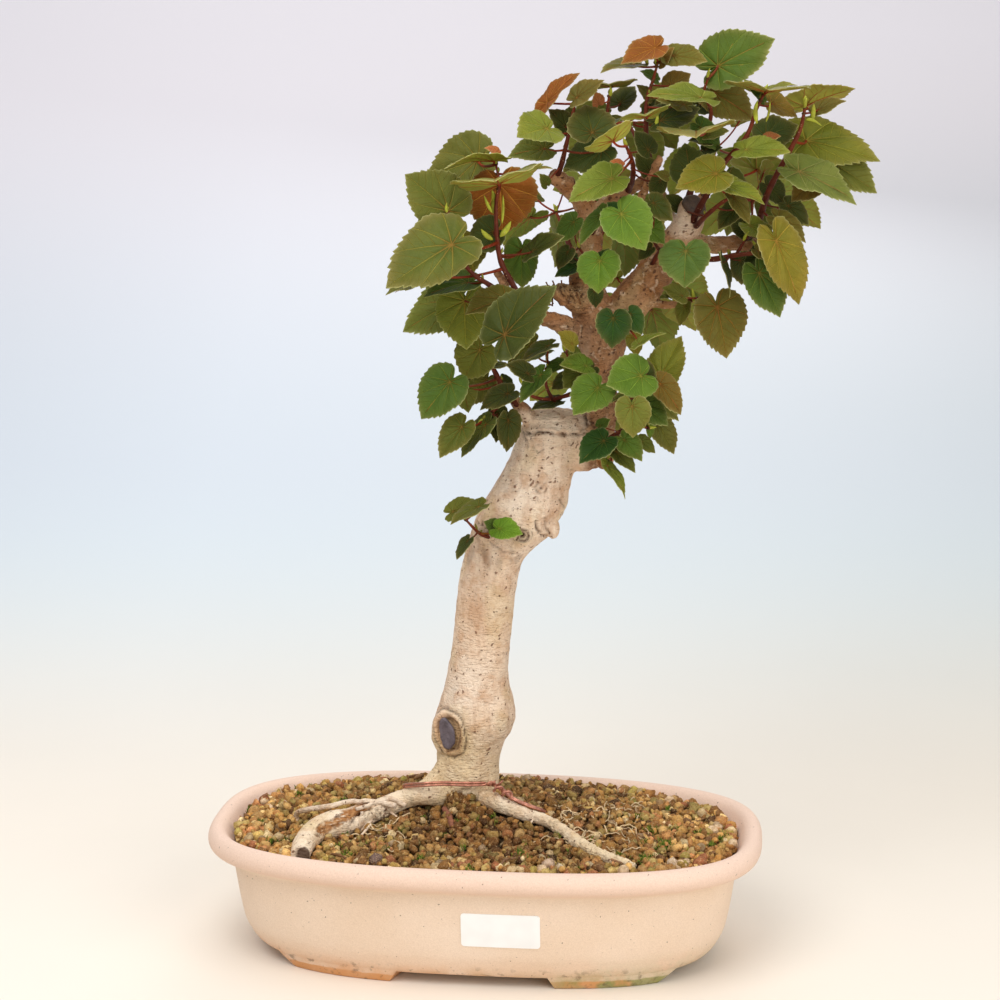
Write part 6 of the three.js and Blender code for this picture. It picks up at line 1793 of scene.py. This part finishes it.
# cushions of moss: x, y in the front view, radius in mm, number of leaves
mossSpots = rowsOf("""
    345 857 5.0 70, 338 850 3.5 30, 520 855 3.6 40, 528 862 3.0 24, 640 820 4.5 60, 652 834 5.0 60, 660 850 4.0 46,
    632 806 3.5 36, 648 862 3.4 30, 610 872 3.0 24, 420 862 3.0 24, 470 872 3.0 22, 270 846 3.4 26, 700 836 3.4 26,
    560 838 3.0 22, 372 786 3.4 24, 580 872 2.6 18, 300 796 3.4 26, 720 842 3.0 22, 498 826 2.6 16, 640 862 5.0 70,
    664 846 4.4 56, 676 832 3.6 40, 646 846 4.0 46, 668 812 3.2 30, 712 848 3.0 26, 252 812 4.0 40, 262 824 3.0 26""")
mossSpots += [(soilDraw.uniform(250, 730), soilDraw.uniform(785, 872), soilDraw.uniform(1.2, 2.4), 8)
              for _ in range(60)]
foot, tip = [], []
for x, y, wide, count in mossSpots:
    middle = onSoil(x, y)
    if not insideRim(middle[None], soil["edge"] + 4)[0]:
        continue
    out = soilDraw.normal(0, wide * 0.55, (int(count), 2))
    high = soilDraw.uniform(1.4, 3.0, len(out)) * np.exp(-(out ** 2).sum(1) / (2 * wide ** 2))
    lean = soilDraw.normal(0, 0.45, out.shape)
    foot.append(onHeap(middle[:2] + out, 0.9))
    tip.append(foot[-1] + np.column_stack([lean * high[:, None], high + 0.4]))
foot, tip = join(foot), join(tip)
keep = insideRim(foot, soil["edge"] + 3) & clearOfRoots(foot, 0.5)
foot, tip = foot[keep], tip[keep]
# each moss leaf: a three-sided spike, widest a third of the way up
corner = np.array([[cos(a), sin(a), 0] for a in (0, 2.09, 4.19)])
girth = soilDraw.uniform(0.28, 0.5, (len(foot), 1, 1))
middle = foot + (tip - foot) * 0.35
spike = join([foot[:, None] + corner * girth * 0.5, middle[:, None] + corner * girth, tip[:, None]], axis=1)
order = np.arange(len(foot))[:, None, None] * 7
mossQuads = (np.array([[0, 1, 4, 3], [1, 2, 5, 4], [2, 0, 3, 5]])[None] + order).reshape(-1, 4)
mossTris = (np.array([[3, 4, 6], [4, 5, 6], [5, 3, 6], [2, 1, 0]])[None] + order).reshape(-1, 3)
mossTint = np.array([srgb(96, 116, 34), srgb(120, 134, 44), srgb(74, 92, 30), srgb(140, 140, 58)])
mossTint = mossTint[soilDraw.integers(0, 4, len(foot))] * soilDraw.uniform(0.7, 1.2, (len(foot), 1))
mossHeap = Heap()
mossHeap.add(spike.reshape(-1, 3), mossQuads, mossTris, tint=np.repeat(mossTint, 7, axis=0))
addPiece("moss", mossHeap, mossMaterial(), "moss")
print("soil made")


# Floor, camera and lights
def floorMesh():
    # a pale sheet, level under the pot, that sweeps up far behind it in a quarter circle
    radius, start = 2600, 350
    t = np.linspace(0, pi / 2, 60)[1:]
    run = join([[-2400], np.linspace(-1200, start, 8), start + radius * np.sin(t)])
    rise = join([np.zeros(9), radius - radius * np.cos(t)])
    x, y = np.meshgrid(np.linspace(-4500, 4500, 9), run)
    points = x[..., None] * viewRight + y[..., None] * viewLevel + rise[:, None, None] * upright
    return meshFrom("floorSheet", points.reshape(-1, 3), gridFaces(*x.shape))


paper = Shader("paleFloor", 0.85, 0.1)
paperTint = paper.mix(paper.spread(paper.noise(6, 3), 0.3, 0.7), srgb(239, 229, 215), srgb(237, 227, 213))
east, north, sweep = paper.split(paper.place())[:3]


def floorRun(way):
    # how far along a level direction a place on the sheet lies
    return paper.plus(paper.times(east, float(way[0])), paper.times(north, float(way[1])))


# warm near the pot, bluish behind it, then lavender high up; painted shade makes it a little darker to the right, away
# from the lamps on the left
for share, colour in ((paper.spread(floorRun(viewLevel), 0.15, 0.9, smooth=True), srgb(218, 226, 228)),
                      (paper.spread(sweep, 0, 0.09, smooth=True), srgb(215, 221, 227)),
                      (paper.spread(sweep, 0.06, 0.45, smooth=True), srgb(241, 235, 238))):
    paperTint = paper.mix(share, paperTint, colour)
# painted shade: darker to the right, most on the far floor
rightShade = paper.times(paper.spread(floorRun(viewRight), -0.3, 0.75, 0, 0.95),
                      paper.times(paper.spread(sweep, 0.12, 0.5, 1, 0.25),
                                  paper.spread(floorRun(viewLevel), -0.1, 0.5, 0.3, 1)))
floor = addObject("floorSheet", floorMesh())
floor.data.materials.append(paper.finish(paper.shade(rightShade, paperTint, (0.77, 0.76, 0.725))))


def areaLight(name, away, height, turn, size, watts, aimBack=0, aimUp=130):
    # a soft panel aimed at the tree, or at a place so many mm behind it; turn is the degrees
    # from the viewer's side, positive to the right
    lamp = bpy.data.lights.new(name, "AREA")
    lamp.shape, lamp.size, lamp.energy = "DISK", size, watts
    made = addObject(name, lamp)
    a = radians(turn)
    at = treeFoot + shiftMm + (-viewLevel * cos(a) + viewRight * sin(a)) * away + upright * height
    aim = treeFoot + shiftMm + viewLevel * aimBack + upright * aimUp
    made.location = at / 1000
    made.rotation_euler = Vector(aim - at).to_track_quat("-Z", "Y").to_euler()


areaLight("keyPanel", 900, 1150, -30, 1.0, 10.5)
areaLight("fillPanel", 1300, 600, 40, 1.3, 9.5)
areaLight("topPanel", 150, 1700, 0, 1.2, 5.5)
areaLight("backPanel", 1200, 900, 165, 1.2, 4)
areaLight("backdropPanel", 1300, 1900, 180, 2.0, 10, 2400, 420)

world = bpy.data.worlds.new("paleRoom")
bpy.context.scene.world = world
world.use_nodes = True
sky = world.node_tree.nodes["Background"].inputs
sky[0].default_value, sky[1].default_value = (0.86, 0.9, 0.96, 1), 0.52

lens = bpy.data.cameras.new("frontCamera")
lens.lens, lens.sensor_width = 36 * view["zoom"] / (2 * view["middle"]), 36
lens.clip_start, lens.clip_end = 0.05, 20
camera = addObject("frontCamera", lens)
turnTo = np.eye(4)
turnTo[:3] = np.column_stack([viewRight, viewUp, -viewForward, (eye + shiftMm) / 1000])
camera.matrix_world = Matrix(turnTo.tolist())
bpy.context.scene.camera = camera
bpy.context.scene.view_settings.view_transform = "Standard"
print("stage made")
